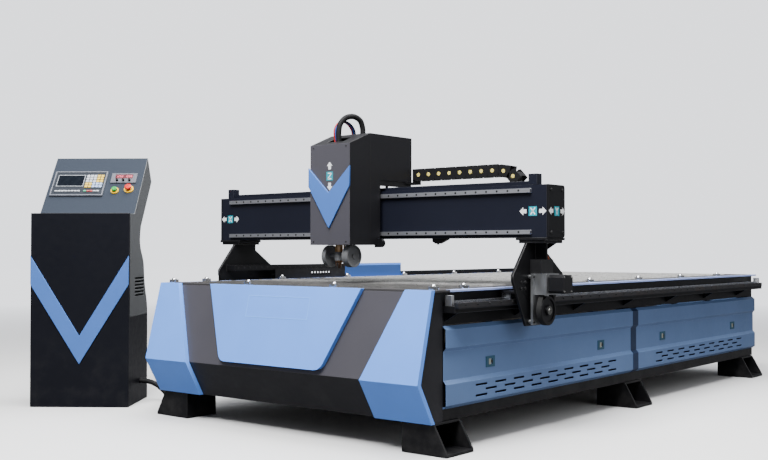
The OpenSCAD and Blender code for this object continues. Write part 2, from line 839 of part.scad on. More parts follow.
// Side and rear skirt panels
function panel_line(x, z0, z1) = [
    [x, z1], [x + panel_proud - sheet_t, z1 - panel_bevel],
        [x + panel_proud - sheet_t, z1 - panel_band_top],
    [x + panel_proud - panel_step - sheet_t, z1 - panel_band_top - panel_bevel],
    [x + panel_proud - panel_step - sheet_t, z0 + panel_band_low + 2 * panel_bevel],
    [x + panel_proud - sheet_t, z0 + panel_band_low + panel_bevel],
        [x + panel_proud - sheet_t, z0 + panel_bevel],
    [x, z0]];
panel_mid = (frame_y0 + frame_y1) / 2;
panel_spans = [[frame_y0 + panel_front_gap, panel_mid - panel_gap / 2],
    [panel_mid + panel_gap / 2, frame_y1]];
module side_panel(span) difference() {
    line = panel_line(frame_out, panel_z0, panel_z1);
    vent_y0 = (span[0] + span[1] - vent_pitch * vent_cols) / 2;
    union() {
        along_y(span[0], span[1]) polygon(concat(line,
            [for (i = [len(line) - 1:-1:0]) line[i] + [sheet_t, 0]]));
        for (z = [panel_z0, panel_z1 - panel_lip])
            box([frame_out, span[0], z], [frame_out + sheet_t, span[1], z + panel_lip]);
    }
    for (row = [0:vent_rows - 1], i = [0:vent_cols - 1 - row % 2]) {
        y = vent_y0 + vent_pitch * (i + row % 2 / 2) + (vent_pitch - vent_w) / 2;
        z = panel_z0 + panel_bevel + panel_band_low / 2 + vent_row * (row - 1) - vent_h / 2;
        box([frame_out, y, z], [side_x + cut, y + vent_w, z + vent_h]);
    }
}
module skirt_panels() color("#56719f") {
    both_sides() for (span = panel_spans) side_panel(span);
    box([-frame_out + rear_panel_in, frame_y1, panel_z0],
        [frame_out - rear_panel_in, frame_y1 + sheet_t, panel_z1]);
}
module panel_latches() color("#2f7f8c") both_sides() for (span = panel_spans, share = latch_place_shares) {
    y = span[0] + (span[1] - span[0]) * share;
    z = (panel_z0 + panel_z1) / 2;
    x = side_x - panel_step;
    difference() {
        box([x, y - latch_w / 2, z - latch_h / 2], [x + latch_t, y + latch_w / 2, z + latch_h / 2]);
        box([x - cut, y - latch_paddle_w / 2, z - latch_paddle_h / 2],
            [x + latch_t + cut, y + latch_paddle_w / 2, z + latch_paddle_h / 2]);
    }
    box([x, y - latch_paddle_w / 2, z - latch_paddle_h / 2],
        [x + latch_paddle_t, y, z + latch_paddle_h / 2]);
    translate([x, y + latch_paddle_w / 4, z]) rotate([0, 90, 0]) cylinder(latch_knob_t, r = latch_knob_r);
}

// Top rim, ball units, slats and trays
rim_x0 = beam_in - rim_in;
rim_x1 = side_x + rim_out;
rim_y0 = cover_proud + sheet_t + rim_back_gap;
module top_rim() color("#b9bedb") {
    both_sides() box([rim_x0, rim_y0, rim_z], [rim_x1, table_l, table_h]);
    for (y = [[rim_y0, rim_y0 + rim_front_w], [table_l - rim_front_w - rim_over, table_l]])
        box([-rim_x0, y[0], rim_z], [rim_x0, y[1], table_h]);
}
module ball_unit() {
    difference() {
        cylinder(ball_cup_h, r = ball_cup_r);
        translate([0, 0, ball_r + round_gap]) sphere(ball_r + round_gap);
    }
    translate([0, 0, ball_r + round_gap]) sphere(ball_r);
}
module ball_units() color("#d6d8da") {
    x = rim_x1 - ball_in;
    for (i = [0:front_ball_count - 1])
        translate([x * (2 * i / (front_ball_count - 1) - 1), rim_y0 + ball_in / 2 + ball_cup_r / 2,
            table_h]) ball_unit();
    for (s = [-1, 1], i = [0:side_ball_count - 1])
        translate([s * x, ball_y0 + ball_pitch * i, table_h]) ball_unit();
}
slat_y0 = rim_y0 + rim_front_w + slat_first;
slat_y1 = table_l - rim_front_w - rim_over - slat_first;
slat_count = floor((slat_y1 - slat_y0) / slat_pitch) + 1;
support_x = rim_x0 * support_share;
module slats() color("#8d8a84") for (i = [0:slat_count - 1]) let (y = slat_y0 + slat_pitch * i)
    box([slat_gap_end - rim_x0, y, slat_bottom], [rim_x0 - slat_gap_end, y + slat_t, slat_bottom + slat_h]);
module slat_supports() color("#3a3733") for (s = support_xs) difference() {
    box([s * support_x - support_t / 2, frame_y0 + cross_s, support_z],
        [s * support_x + support_t / 2, frame_y1 - cross_s, support_z + support_h]);
    for (i = [0:slat_count - 1]) let (y = slat_y0 + slat_pitch * i)
        box([s * support_x - support_t, y - slide_gap, slat_bottom],
            [s * support_x + support_t, y + slat_t + slide_gap, support_z + support_h + cut]);
}
module slag_tray(y0, y1) difference() {
    box([tray_side_gap - low_in, y0, low_top], [low_in - tray_side_gap, y1, low_top + tray_h]);
    box([tray_side_gap - low_in + tray_wall, y0 + tray_wall, low_top + tray_wall],
        [low_in - tray_side_gap - tray_wall, y1 - tray_wall, low_top + tray_h + cut]);
}
module slag_trays() color("#55504a") {
    slag_tray(frame_y0 + tray_end_gap, panel_mid - tray_end_gap);
    slag_tray(panel_mid + tray_end_gap, frame_y1 - tray_end_gap);
}

// Guides of the long travel
gusset_count = floor((frame_y1 - frame_y0 - gusset_first) / gusset_pitch) + 1;
module rail_ledges() color("#232427") both_sides() {
    box([frame_out, frame_y0 + end_plate_l, ledge_z1 - ledge_t], [ledge_x1, frame_y1, ledge_z1]);
    for (i = [0:gusset_count - 1]) let (y = frame_y0 + gusset_first + gusset_pitch * i)
        along_y(y, y + gusset_t) polygon([
            [frame_out, ledge_z1 - ledge_t], [ledge_x1 - gusset_in, ledge_z1 - ledge_t],
            [frame_out, ledge_z1 - ledge_t - gusset_h]]);
}
rail_y0 = frame_y0 + end_plate_l + stop_l;
rail_y1 = frame_y1 - stop_l;
module y_rails() color("#c9ccd2") both_sides()
    translate([rail_x, 0, ledge_z1]) along_y(rail_y0, rail_y1) rail_section(rail_w, rail_h, rail_waist);
module y_racks() color("#9a9ca1") both_sides() for (i = [0:rack_sections - 1])
    along_x(ledge_x1, ledge_x1 + rack_t) translate([rack_y0 + y_pitch * rack_teeth * i, y_pitch_z])
        polygon(rack_outline(rack_teeth, y_module, rack_back));
module rail_end_stops() color("#d9dcdd") both_sides()
    for (y = [rail_y0 - stop_l, rail_y1])
        box([frame_out + stop_in, y, ledge_z1], [ledge_x1 - stop_in, y + stop_l, ledge_z1 + stop_h]);

// Long drag chain beside the bed
module y_chain_tray() color("#2b2c30") {
    x1 = -rim_x1;
    z = table_h - side_tray_drop;
    box([x1 - side_tray_w, side_tray_y0, z - side_tray_t], [x1, table_l - side_tray_end, z]);
    box([x1 - side_tray_w, side_tray_y0, z],
        [x1 - side_tray_w + side_tray_t, table_l - side_tray_end, z + side_tray_wall]);
    box([x1 - side_tray_t, chain_guard_y0, z], [x1, chain_guard_y0 + chain_guard_l, z + chain_guard_h]);
}
module y_chain() color("#202124") translate([y_chain_x, y_chain_start, 0]) rotate([0, 0, 90])
    drag_chain(y_chain_run, y_chain_tail, y_chain_bend_r, y_chain_low_z, y_chain_w, y_chain_h,
        y_chain_pitch);

// Control cabinet
module in_cabinet() translate(concat(cab_point(0, 0), 0)) rotate([0, 0, cab_turn]) children();
module on_console() in_cabinet() translate([0, cab_shelf_d, cab_front_h]) rotate([console_a, 0, 0])
    children();
cab_x = cab_half - cab_side_in;
module cabinet_base() color("#16171a") in_cabinet() difference() {
    box([-cab_x, cab_panel_t, 0], [cab_x, cab_d, cab_base_h]);
    box([cab_wall - cab_x, cab_panel_t + cab_wall, cab_wall],
        [cab_x - cab_wall, cab_d - cab_wall, cab_base_h + cut]);
}
shell_back = concat(
    curve([cab_d, cab_base_h], [cab_d, cab_mid_z], [cab_mid_d, cab_mid_z], [cab_neck_d, cab_neck_z]),
    [for (p = curve([cab_neck_d, cab_neck_z], [cab_neck_d, cab_waist_z], [cab_waist_d, cab_waist_z],
        [(cab_waist_d + cab_neck_d) / 2, cab_waist_z + cab_neck_z - cab_mid_z])) if (p[1] > cab_neck_z) p]);
shell_front = [[cab_back_d, cab_back_z], [cab_top_d, cab_top_h], [cab_shelf_d, cab_front_h],
    [cab_panel_t, cab_front_h]];
shell_outline = concat([[cab_panel_t, cab_base_h]], shell_back, shell_front);
module cabinet_shell() color("#6a7380") in_cabinet() difference() {
    along_x(-cab_x, cab_x) polygon(shell_outline);
    along_x(cab_wall - cab_x, cab_x - cab_wall) polygon(inset(shell_outline, cab_wall));
    box([cab_wall - cab_x, cab_panel_t + cab_wall, cab_base_h - cut],
        [cab_x - cab_wall, cab_d - 2 * cab_wall, cab_base_h + 2 * cab_wall]);
    for (i = [0:cab_vent_rows - 1], s = [-1, 1])
        let (p = cab_vent_h / cab_vent_rows, z = cab_vent_z0 + p * i)
        box([s * cab_x - 2 * cab_wall, cab_vent_y0, z],
            [s * cab_x + 2 * cab_wall, cab_vent_y1, z + p * cab_vent_slot_share]);
}
module cabinet_front() color("#1b1e26") in_cabinet()
    box([-cab_half, 0, 0], [cab_half, cab_panel_t, cab_front_h]);
module cabinet_chevron() color("#6f95da") in_cabinet() along_y(-cab_chevron_t, 0) polygon([
    [-cab_half, cab_chevron_top], [-cab_half, cab_chevron_low], [0, cab_chevron_apex],
        [cab_half, cab_chevron_low],
    [cab_half, cab_chevron_top], [0, cab_chevron_inner]]);
unit_left = unit_x0 - cab_half;
module controller() color("#c4c8cf") on_console() difference() {
    box([unit_left, unit_up, 0], [unit_left + unit_w, unit_up + unit_h, unit_t]);
    box([unit_left + unit_frame, unit_up + unit_frame, unit_t - unit_recess],
        [unit_left + unit_w - unit_frame, unit_up + unit_h - unit_frame, unit_t + cut]);
}
unit_face = unit_t - unit_recess;
module controller_screen() color("#15181f") on_console()
    translate([unit_left + screen_x0, unit_up + screen_up, unit_face])
    cube([screen_w, screen_h, screen_t]);
module controller_keys() color("#e4e4dc") on_console() translate([unit_left, unit_up, unit_face]) {
    for (i = [0:key_cols - 1], j = [0:key_rows - 1])
        translate([key_x0 + key_pitch * i, key_up + key_pitch * j, 0]) cube([key_s, key_s, key_t]);
    for (i = [0:row_key_count - 1])
        translate([row_key_x0 + row_key_pitch * i, row_key_up, 0]) cube([row_key_w, row_key_h, key_t]);
    for (i = [0:key_cols - 1])
        translate([small_key_x0 + row_key_pitch * i, row_key_up, 0]) cube([row_key_w, row_key_h, key_t]);
}
module height_meter() color("#b9bec8") on_console() difference() {
    translate([meter_x - meter_w / 2, meter_up, 0]) cube([meter_w, meter_h, meter_t]);
    for (i = [-1:1]) translate([meter_x + knob_pitch * i, meter_up + knob_up, meter_t - knob_stem_l])
        cylinder(knob_stem_l + cut, r = knob_stem_r + fit_gap);
}
module button_collar(x, up, r) translate([x, up, 0]) difference() {
    cylinder(button_collar_t, r = r);
    translate([0, 0, -cut]) cylinder(button_collar_t + 2 * cut, r = button_stem_r + fit_gap);
}
module button_collars() color("#e8c63a") on_console() {
    button_collar(start_x, start_up, start_collar_r);
    button_collar(stop_x, stop_up, stop_collar_r);
}
// Button whose stem rests in its collar, with its travel free below the stem and below the cap
module push_button(x, up, r, rise, cap) on_console() translate([x, up, button_travel + slide_gap]) {
    cylinder(button_collar_t + rise, r = button_stem_r);
    translate([0, 0, button_collar_t + rise]) rotate_extrude() polygon(
        [[0, 0], [r * (1 - chamfer_share), 0], [r, cap * chamfer_share], [r, cap * (1 - chamfer_share)],
        [r * (1 - chamfer_share), cap], [0, cap]]);
}
module start_button() color("#27a04a") push_button(start_x, start_up, start_r, 0, start_h);
module emergency_stop() color("#d2281e") push_button(stop_x, stop_up, stop_r, stop_rise, stop_cap_h);
module meter_knob(i) color("#18181a") on_console()
    translate([meter_x + knob_pitch * i, meter_up + knob_up, meter_t + slide_gap]) {
    translate([0, 0, -knob_stem_l]) cylinder(knob_stem_l, r = knob_stem_r);
    difference() {
        cylinder(knob_h, r = knob_r);
        translate([0, 0, knob_h]) cube([knob_r / 4, 2 * knob_r + cut, knob_r / 2], center = true);
    }
}
module power_conduit() color("#1b1b1d") swept_tube(conduit_route, conduit_r, conduit_sides, [0, 1, 0]);

// Gantry
module gantry_beam() color("#21242f") difference() {
    box([cap_t - beam_half, beam_y, beam_z0], [beam_half - cap_t, beam_y1, beam_z1]);
    box([-beam_half, beam_y + beam_wall, beam_z0 + beam_wall],
        [beam_half, beam_y1 - beam_wall, beam_z1 - beam_wall]);
}
module beam_end_caps() color("#1a1b1f") both_sides() along_x(beam_half - cap_t, beam_half) polygon(rounded(
    [[beam_y, beam_z0], [beam_y1, beam_z0], [beam_y1, beam_z1], [beam_y, beam_z1]],
    [0, cap_round, cap_round, 0]));
module beam_guides() color("#c9ccd2") {
    for (z = [beam_z0 + x_rail_edge, beam_z1 - x_rail_edge])
        translate([x_rail_end - beam_half, beam_y, z]) rotate([90, 0, 90])
            linear_extrude(2 * (beam_half - x_rail_end)) rotate(90)
                rail_section(x_rail_w, x_rail_h, rail_waist);
    for (i = [0:x_rack_sections - 1]) along_z(x_rack_z1 - x_rack_h, x_rack_z1)
        translate([x_pitch * x_rack_teeth * (i - x_rack_sections / 2), beam_y1 + x_rack_t])
            mirror([0, 1]) polygon(rack_outline(x_rack_teeth, x_module, x_rack_t));
}
leg_flange_z = beam_z0 - flange_t - flange_low_t;
leg_outline = [
    [beam_y - flange_over / 2, leg_flange_z], [beam_y - leg_front_out, leg_flange_z - leg_shoulder],
    [beam_y - leg_front_out, leg_flange_z - leg_shoulder - leg_shoulder_h],
    [drive_y - leg_tongue_half - spacer_inset, drive_z - leg_tongue_z],
    [drive_y + leg_tongue_half, drive_z - leg_tongue_z],
    [beam_y1 + leg_rear_out, leg_flange_z - leg_shoulder - leg_shoulder_h],
    [beam_y1 + leg_rear_out, leg_flange_z - leg_shoulder],
    [beam_y1 + flange_over, leg_flange_z - leg_neck], [beam_y1 + flange_over, leg_flange_z]];
module uprights() color("#1b1c1f") {
    both_sides() upright();
    chain_bracket();
}
module upright() {
    difference() {
        along_x(leg_x0, leg_x1) polygon(leg_outline);
        translate([leg_x0 - cut, drive_y, drive_z]) rotate([0, 90, 0])
            cylinder(leg_t + 2 * cut, r = shaft_hole_r);
    }
    box([leg_x0 - flange_in, beam_y - flange_over, beam_z0 - flange_t],
        [beam_half - flange_end, beam_y1 + flange_over, beam_z0]);
    box([leg_x0 - flange_in + flange_step, beam_y - flange_over / 2, leg_flange_z],
        [beam_half - flange_end - flange_step, beam_y1 + flange_over, beam_z0 - flange_t]);
    box([leg_x1, drive_y - rib_t / 2, drive_z + drive_plate_up + cable_box_h],
        [leg_x1 + cable_box_d, drive_y + rib_t / 2, leg_flange_z]);
    box([rail_x - block_w / 2, beam_y - leg_front_out / 2, block_top_z],
        [leg_x0, beam_y1 + leg_front_out / 2, block_top_z + foot_plate_t]);
}
module chain_bracket() box(
    [-leg_x0, y_chain_start - chain_arm_t, y_chain_low_z + 2 * y_chain_bend_r - y_chain_h / 2],
    [y_chain_x + y_chain_w / 2, y_chain_start, y_chain_low_z + 2 * y_chain_bend_r + y_chain_h / 2]);
block_ys = [drive_y - (block_spread + block_l) / 2, drive_y + (block_spread - block_l) / 2];
module y_bearing_blocks() color("#a9adb4") both_sides() for (y = block_ys) difference() {
    box([rail_x - block_w / 2, y, ledge_z1 + block_lift], [rail_x + block_w / 2, y + block_l, block_top_z]);
    box([rail_x - rail_w / 2 - slide_gap, y - cut, ledge_z1],
        [rail_x + rail_w / 2 + slide_gap, y + block_l + cut, ledge_z1 + rail_h + slide_gap]);
}
module drive_brackets() color("#a7aaae") both_sides() {
    difference() {
        union() {
            box([drive_x0, drive_y - drive_plate_half, drive_z - drive_plate_low],
                [drive_x1, drive_y + drive_plate_half, drive_z + drive_plate_up]);
            for (sy = [-1, 1], z = [drive_z - drive_plate_low + spacer_inset,
                drive_z + drive_plate_up - spacer_inset])
                translate([leg_x1, drive_y + sy * (drive_plate_half - spacer_inset), z])
                    rotate([0, 90, 0]) cylinder(drive_gap, r = spacer_r);
            box([bracket_x1, drive_y - bracket_half, motor_z - bracket_low],
                [motor_x0, drive_y + bracket_half, drive_z + drive_plate_up]);
            box([drive_x1, drive_y - bracket_half, drive_z + drive_plate_up - bracket_wall],
                [bracket_x1, drive_y + bracket_half, drive_z + drive_plate_up]);
            for (y = [drive_y - bracket_half, drive_y + bracket_half - bracket_wall])
                box([drive_x1, y, motor_z - bracket_low],
                    [bracket_x1, y + bracket_wall, drive_z + drive_plate_up]);
        }
        translate([drive_x0 - cut, drive_y, drive_z]) rotate([0, 90, 0])
            cylinder(drive_plate_t + 2 * cut, r = shaft_r + fit_gap);
        translate([bracket_x1 - cut, drive_y, motor_z]) rotate([0, 90, 0])
            cylinder(bracket_t + 2 * cut, r = motor_hole_r);
    }
    box([leg_x1, drive_y - cable_box_half, drive_z + drive_plate_up],
        [leg_x1 + cable_box_d, drive_y + cable_box_half,
        drive_z + drive_plate_up + cable_box_h]);
}
function chamfered(s, c) = [for (q = [[1, 1], [-1, 1], [-1, -1], [1, -1]], k = [0, 1])
    let (first = (q[0] * q[1] > 0) == (k == 0)) [q[0] * (s / 2 - (first ? 0 : c)),
        q[1] * (s / 2 - (first ? c : 0))]];
module y_motors() color("#17181a") both_sides() translate([motor_x0, drive_y, motor_z]) {
    along_x(0, motor_l) polygon(chamfered(motor_s, motor_chamfer));
    rotate([0, -90, 0]) cylinder(motor_boss_t, r = motor_boss_r);
}
module belt_loop(r1, r2, d) {
    lean = asin((r1 - r2) / d);
    circle(r1);
    translate([0, d]) circle(r2);
    polygon([polar(r1, lean), polar(r2, lean) + [0, d], polar(r2, 180 - lean) + [0, d],
        polar(r1, 180 - lean)]);
}
module drive_belts() color("#202022") both_sides() translate([0, drive_y, drive_z])
    along_x(belt_x0, belt_x0 + belt_w)
    difference() {
        belt_loop(big_r + round_gap + belt_t, small_r + round_gap + belt_t, motor_up);
        belt_loop(big_r + round_gap, small_r + round_gap, motor_up);
    }
module rod_x(x0, x1, r) translate([x0, 0, 0]) rotate([0, 90, 0]) cylinder(x1 - x0, r = r);
module pinion_drive() translate([0, drive_y, drive_z]) {
    hub_x1 = belt_x0 + belt_w + pulley_hub_t;
    rod_x(pinion_x0, hub_x1, shaft_r);
    difference() {
        union() {
            along_x(pinion_x0, pinion_x0 + pinion_w) rotate(90) polygon(gear_outline(y_teeth, y_module));
            rod_x(pinion_x0 + pinion_w, pinion_x0 + pinion_w + pinion_hub_l, pinion_hub_r);
        }
        rod_x(pinion_x0 - cut, pinion_x0 + pinion_w + pinion_hub_l + cut, shaft_r);
    }
    difference() {
        union() {
            rod_x(belt_x0 - pulley_flange_t, belt_x0 + belt_w + pulley_flange_t, big_r);
            rod_x(belt_x0 - pulley_flange_t, hub_x1, pulley_hub_r);
        }
        difference() {
            rod_x(belt_x0 + belt_w + pulley_flange_t - pulley_recess, hub_x1 + cut, big_r - pulley_rim);
            rod_x(belt_x0, hub_x1 + 2 * cut, pulley_hub_r);
        }
        rod_x(belt_x0 - pulley_flange_t - cut, hub_x1 + cut, shaft_r);
    }
}
module motor_pulley() translate([0, drive_y, motor_z]) {
    rod_x(belt_x0 - pulley_flange_t, motor_x0 - motor_boss_t - slide_gap, motor_shaft_r);
    difference() {
        rod_x(belt_x0 - pulley_flange_t, belt_x0 + belt_w + pulley_flange_t, small_r);
        rod_x(belt_x0 - pulley_flange_t - cut, belt_x0 + belt_w + pulley_flange_t + cut, motor_shaft_r);
    }
}
module right_pinion_drive() color("#3a3b3e") pinion_drive();
module left_pinion_drive() color("#3a3b3e") mirror([1, 0, 0]) pinion_drive();
module right_motor_pulley() color("#9a9da2") motor_pulley();
module left_motor_pulley() color("#9a9da2") mirror([1, 0, 0]) motor_pulley();
// Tray section in Y and Z, standing on the first axis about its middle
module tray_section(w, lip) {
    translate([-w / 2, 0]) square([w, tray_floor]);
    for (y = [-w / 2, w / 2 - tray_sheet]) translate([y, 0]) square([tray_sheet, lip]);
}
// Cable duct on the beam, chain tray on its arms behind the beam, and stop blocks
module beam_tray() color("#24262c") {
    x = beam_half - duct_end;
    along_x(-x, x) translate([duct_y, beam_z1]) tray_section(duct_w, duct_lip);
    chain_tray_w = chain_w + 2 * (chain_tray_gap + tray_sheet);
    chain_tray_x0 = beam_half - chain_tray_end - chain_tray_l;
    floor_z = chain_tray_z - tray_floor;
    along_x(chain_tray_x0, chain_tray_x0 + chain_tray_l) translate([chain_y, floor_z])
        tray_section(chain_tray_w, tray_floor + chain_tray_lip);
    for (share = tray_arm_shares) translate([chain_tray_x0 + chain_tray_l * share, 0,
        floor_z - tray_arm_t]) {
        box([0, beam_y1, 0], [tray_arm_w, chain_y + chain_tray_w / 2, tray_arm_t]);
        box([0, beam_y1, -tray_arm_leg], [tray_arm_w, beam_y1 + tray_arm_t, tray_arm_t]);
    }
    both_sides() box([beam_half - stop_block_end - stop_block, beam_y, beam_z1],
        [beam_half - stop_block_end, beam_y + stop_block, beam_z1 + stop_block_h]);
}
x_chain_start = head_half + chain_arm_l;
x_chain_end = 412;
x_chain_run = beam_half - x_chain_end - x_chain_start;
x_chain_tail = 406;
module x_chain() color("#202124") translate([x_chain_start, chain_y, 0])
    drag_chain(x_chain_run, x_chain_tail, chain_bend_r, chain_low_z, chain_w, chain_h, chain_pitch);

// Head that runs along the beam
module carriage() color("#1b1c20") difference() {
    union() {
        box([-carriage_half, carriage_y0, head_z0], [carriage_half, carriage_y1, beam_z1 + carriage_top]);
        box([head_sheet - head_half, carriage_y1, bridge_z0],
            [head_half - head_sheet, head_back_y - head_sheet, bridge_z1]);
        box([carriage_half, carriage_y0, beam_z0 - tab_h],
            [carriage_half + tab_l - tab_round, carriage_y1, beam_z0]);
        translate([carriage_half + tab_l - tab_round, carriage_y1, beam_z0 - tab_h / 2]) rotate([90, 0, 0])
            cylinder(carriage_t, r = tab_h / 2);
        box([chain_arm_x0, head_back_y - chain_arm_in, bridge_z0 - chain_arm_t],
            [head_half + chain_arm_l, chain_y + chain_w / 2, bridge_z0]);
        box([head_half + chain_arm_l - chain_arm_t, chain_y - chain_w / 2, bridge_z0 - chain_arm_t],
            [head_half + chain_arm_l, chain_y + chain_w / 2, beam_z1 + chain_rise + chain_h / 2]);
        box([-z_motor_s / 2, carriage_y0 - z_screw_y - z_motor_s / 2,
            beam_z1 + carriage_top - z_motor_plate],
            [z_motor_s / 2, carriage_y0, beam_z1 + carriage_top]);
    }
    translate([0, x_pinion_y, bridge_z0 - cut]) cylinder(bridge_t + 2 * cut, r = x_shaft_hole);
    translate([0, carriage_y0 - z_screw_y, beam_z1]) cylinder(carriage_top + cut, r = z_screw_r + fit_gap);
}
module x_block(x, z) difference() {
    box([x - x_block_l / 2, carriage_y1, z - x_block_w / 2],
        [x + x_block_l / 2, beam_y - x_block_gap, z + x_block_w / 2]);
    box([x - x_block_l / 2 - cut, beam_y - x_rail_h - slide_gap, z - x_rail_w / 2 - slide_gap],
        [x + x_block_l / 2 + cut, beam_y, z + x_rail_w / 2 + slide_gap]);
}
module carriage_guides() color("#b4b8be") {
    for (sx = [-1, 1], z = [beam_z0 + x_rail_edge, beam_z1 - x_rail_edge])
        x_block(sx * x_block_spread / 2, z);
    both_sides() translate([z_rail_x, carriage_y0, 0]) along_z(head_z0 + z_rail_low, beam_z1 + z_rail_top)
        rotate(180) rail_section(z_rail_w, z_rail_h, rail_waist);
}
module head_motors() color("#1a1b1d") {
    translate([0, x_pinion_y, 0]) along_z(bridge_z1, bridge_z1 + motor_l)
        polygon(chamfered(motor_s - 4 * head_rear_gap, motor_chamfer));
    translate([0, carriage_y0 - z_screw_y, 0])
        along_z(beam_z1 + carriage_top, beam_z1 + carriage_top + z_motor_l)
        polygon(chamfered(z_motor_s, motor_chamfer / 2));
}
module x_pinion() color("#8b8d91") translate([0, x_pinion_y, 0]) {
    along_z(x_rack_z1 - x_rack_h, x_rack_z1) rotate(-90) polygon(gear_outline(x_teeth, x_module));
    translate([0, 0, x_rack_z1]) cylinder(bridge_z1 - x_rack_z1 - slide_gap, r = x_shaft_r);
}
cover_outline = [
    [head_front_y + front_plate_t, head_z0], [head_side_y, head_z0], [head_side_y, bridge_z0],
        [head_back_y, bridge_z0],
    [head_back_y, head_roof_z], [head_seam_y, head_roof_z], [head_front_y + front_plate_t, head_front_z]];
module head_cover() color("#2b2c31") difference() {
    along_x(-head_half, head_half) polygon(cover_outline);
    along_x(head_sheet - head_half, head_half - head_sheet) polygon([
        [head_front_y, head_z0 - cut], [head_side_y + cut, head_z0 - cut],
            [head_side_y + cut, bridge_z0 - cut],
        [head_back_y - head_sheet, bridge_z0 - cut], [head_back_y - head_sheet, head_roof_z - head_sheet],
        [head_seam_y, head_roof_z - head_sheet], [head_front_y, head_front_z - 2 * head_sheet]]);
    box([-roof_slot_w / 2, head_front_y + roof_slot_y0, head_front_z - head_sheet],
        [roof_slot_w / 2, head_front_y + roof_slot_y0 + roof_slot_l, head_roof_z + cut]);
    translate([roof_hole_x, head_seam_y + roof_hole_y, head_roof_z - head_sheet - cut])
        cylinder(head_sheet + 2 * cut, r = hose_r + round_gap);
    box([head_half - 2 * head_sheet, carriage_y0 - slide_gap, head_z0 - cut],
        [head_half + cut, head_side_y + cut, beam_z0 + slide_gap]);
    for (i = [0:wire_count - 1])
        translate([-wire_pitch * (i + 1), head_seam_y + roof_hole_y, head_roof_z - head_sheet - cut])
            cylinder(head_sheet + 2 * cut, r = wire_r + round_gap);
}
module head_front_plate() color("#63646c")
    box([-head_half, head_front_y, head_z0], [head_half, head_front_y + front_plate_t, head_front_z]);
module head_chevron() color("#8fb4ee") {
    h = head_front_z - head_z0;
    x = head_half + chevron_over;
    along_y(head_front_y - chevron_t, head_front_y) translate([0, head_z0]) polygon([
        [-x, h * chevron_top_share], [-x, h * chevron_shoulder_share], [0, h * chevron_apex_share],
        [x, h * chevron_shoulder_share], [x, h * chevron_top_share], [0, h * chevron_inner_share]]);
}
// Cables that leave the roof's front and enter it again behind the seam
module head_cables() color("#1d1d1f") translate([0, head_seam_y, head_roof_z]) {
    swept_tube(hose_route, hose_r, hose_sides, [1, 0, 0]);
    for (i = [0:wire_count - 1]) translate([-wire_pitch * (i + 1), 0, 0])
        swept_tube(wire_route, wire_r, wire_sides, [1, 0, 0]);
}
module z_screw() color("#b9bcc0") translate([0, carriage_y0 - z_screw_y, head_z0 + z_screw_low])
    cylinder(beam_z1 + carriage_top - head_z0 - z_screw_low - slide_gap, r = z_screw_r);

// Torch and its slide
slide_y1 = carriage_y0 - z_rail_h - z_block_gap;
module torch_slide() color("#3b3c40") {
    z0 = head_z0 + slide_low;
    difference() {
        union() {
            box([-slide_half, slide_y1 - z_block_h - slide_t, z0],
                [slide_half, slide_y1 - z_block_h, z0 + slide_h]);
            box([-nut_s / 2, slide_y1 - z_block_h, z0 + nut_h],
                [nut_s / 2, carriage_y0 - slide_gap - z_block_gap, z0 + 2 * nut_h]);
        }
        translate([0, carriage_y0 - z_screw_y, z0]) cylinder(slide_h, r = z_screw_r + fit_gap);
    }
    for (sx = [-1, 1], z = [z0, z0 + slide_h - z_block_l]) difference() {
        box([sx * z_rail_x - z_block_w / 2, slide_y1 - z_block_h, z],
            [sx * z_rail_x + z_block_w / 2, slide_y1 + z_rail_h, z + z_block_l]);
        box([sx * z_rail_x - z_rail_w / 2 - slide_gap, carriage_y0 - z_rail_h - slide_gap, z - cut],
            [sx * z_rail_x + z_rail_w / 2 + slide_gap, carriage_y0 + cut, z + z_block_l + cut]);
    }
}
slide_front = slide_y1 - z_block_h - slide_t;
module guard_disc(x, t) difference() {
    translate([x, 0, 0]) rotate([0, 90, 0]) cylinder(t, r = guard_r);
    for (face = [x - cut, x + t - guard_dish]) difference() {
        translate([face, 0, 0]) rotate([0, 90, 0]) cylinder(guard_dish + cut, r = guard_r - guard_rim);
        translate([face - cut, 0, 0]) rotate([0, 90, 0]) cylinder(guard_dish + 3 * cut, r = guard_axle_r);
    }
}
module torch_holder() color("#3b3b3d") difference() {
    union() {
        box([-torch_arm_half, torch_y, torch_tip_z + torch_arm_z],
            [torch_arm_half, slide_front, torch_tip_z + torch_arm_z + torch_arm_t]);
        translate([0, torch_y, torch_tip_z + torch_arm_z - collar_h / 4]) cylinder(collar_h, r = collar_r);
        translate([0, torch_y, guard_z]) {
            translate([0, 0, -collar_h / 2]) cylinder(collar_h, r = collar_r);
            translate([guard_left_x, 0, 0]) rotate([0, 90, 0])
                cylinder(guard_right_x + guard_right_t - guard_left_x, r = guard_axle_r);
            guard_disc(guard_left_x, guard_left_t);
            guard_disc(guard_right_x, guard_right_t);
        }
    }
    translate([0, torch_y, torch_tip_z]) cylinder(torch_top, r = torch_r);
}
module torch() color("#8b7355") translate([0, torch_y, torch_tip_z]) rotate_extrude() polygon([
    [0, 0], [nozzle_r, 0], [torch_r - nozzle_h / 4, nozzle_h], [torch_r, nozzle_h + shield_h / 4],
    [torch_r, torch_top], [0, torch_top]]);

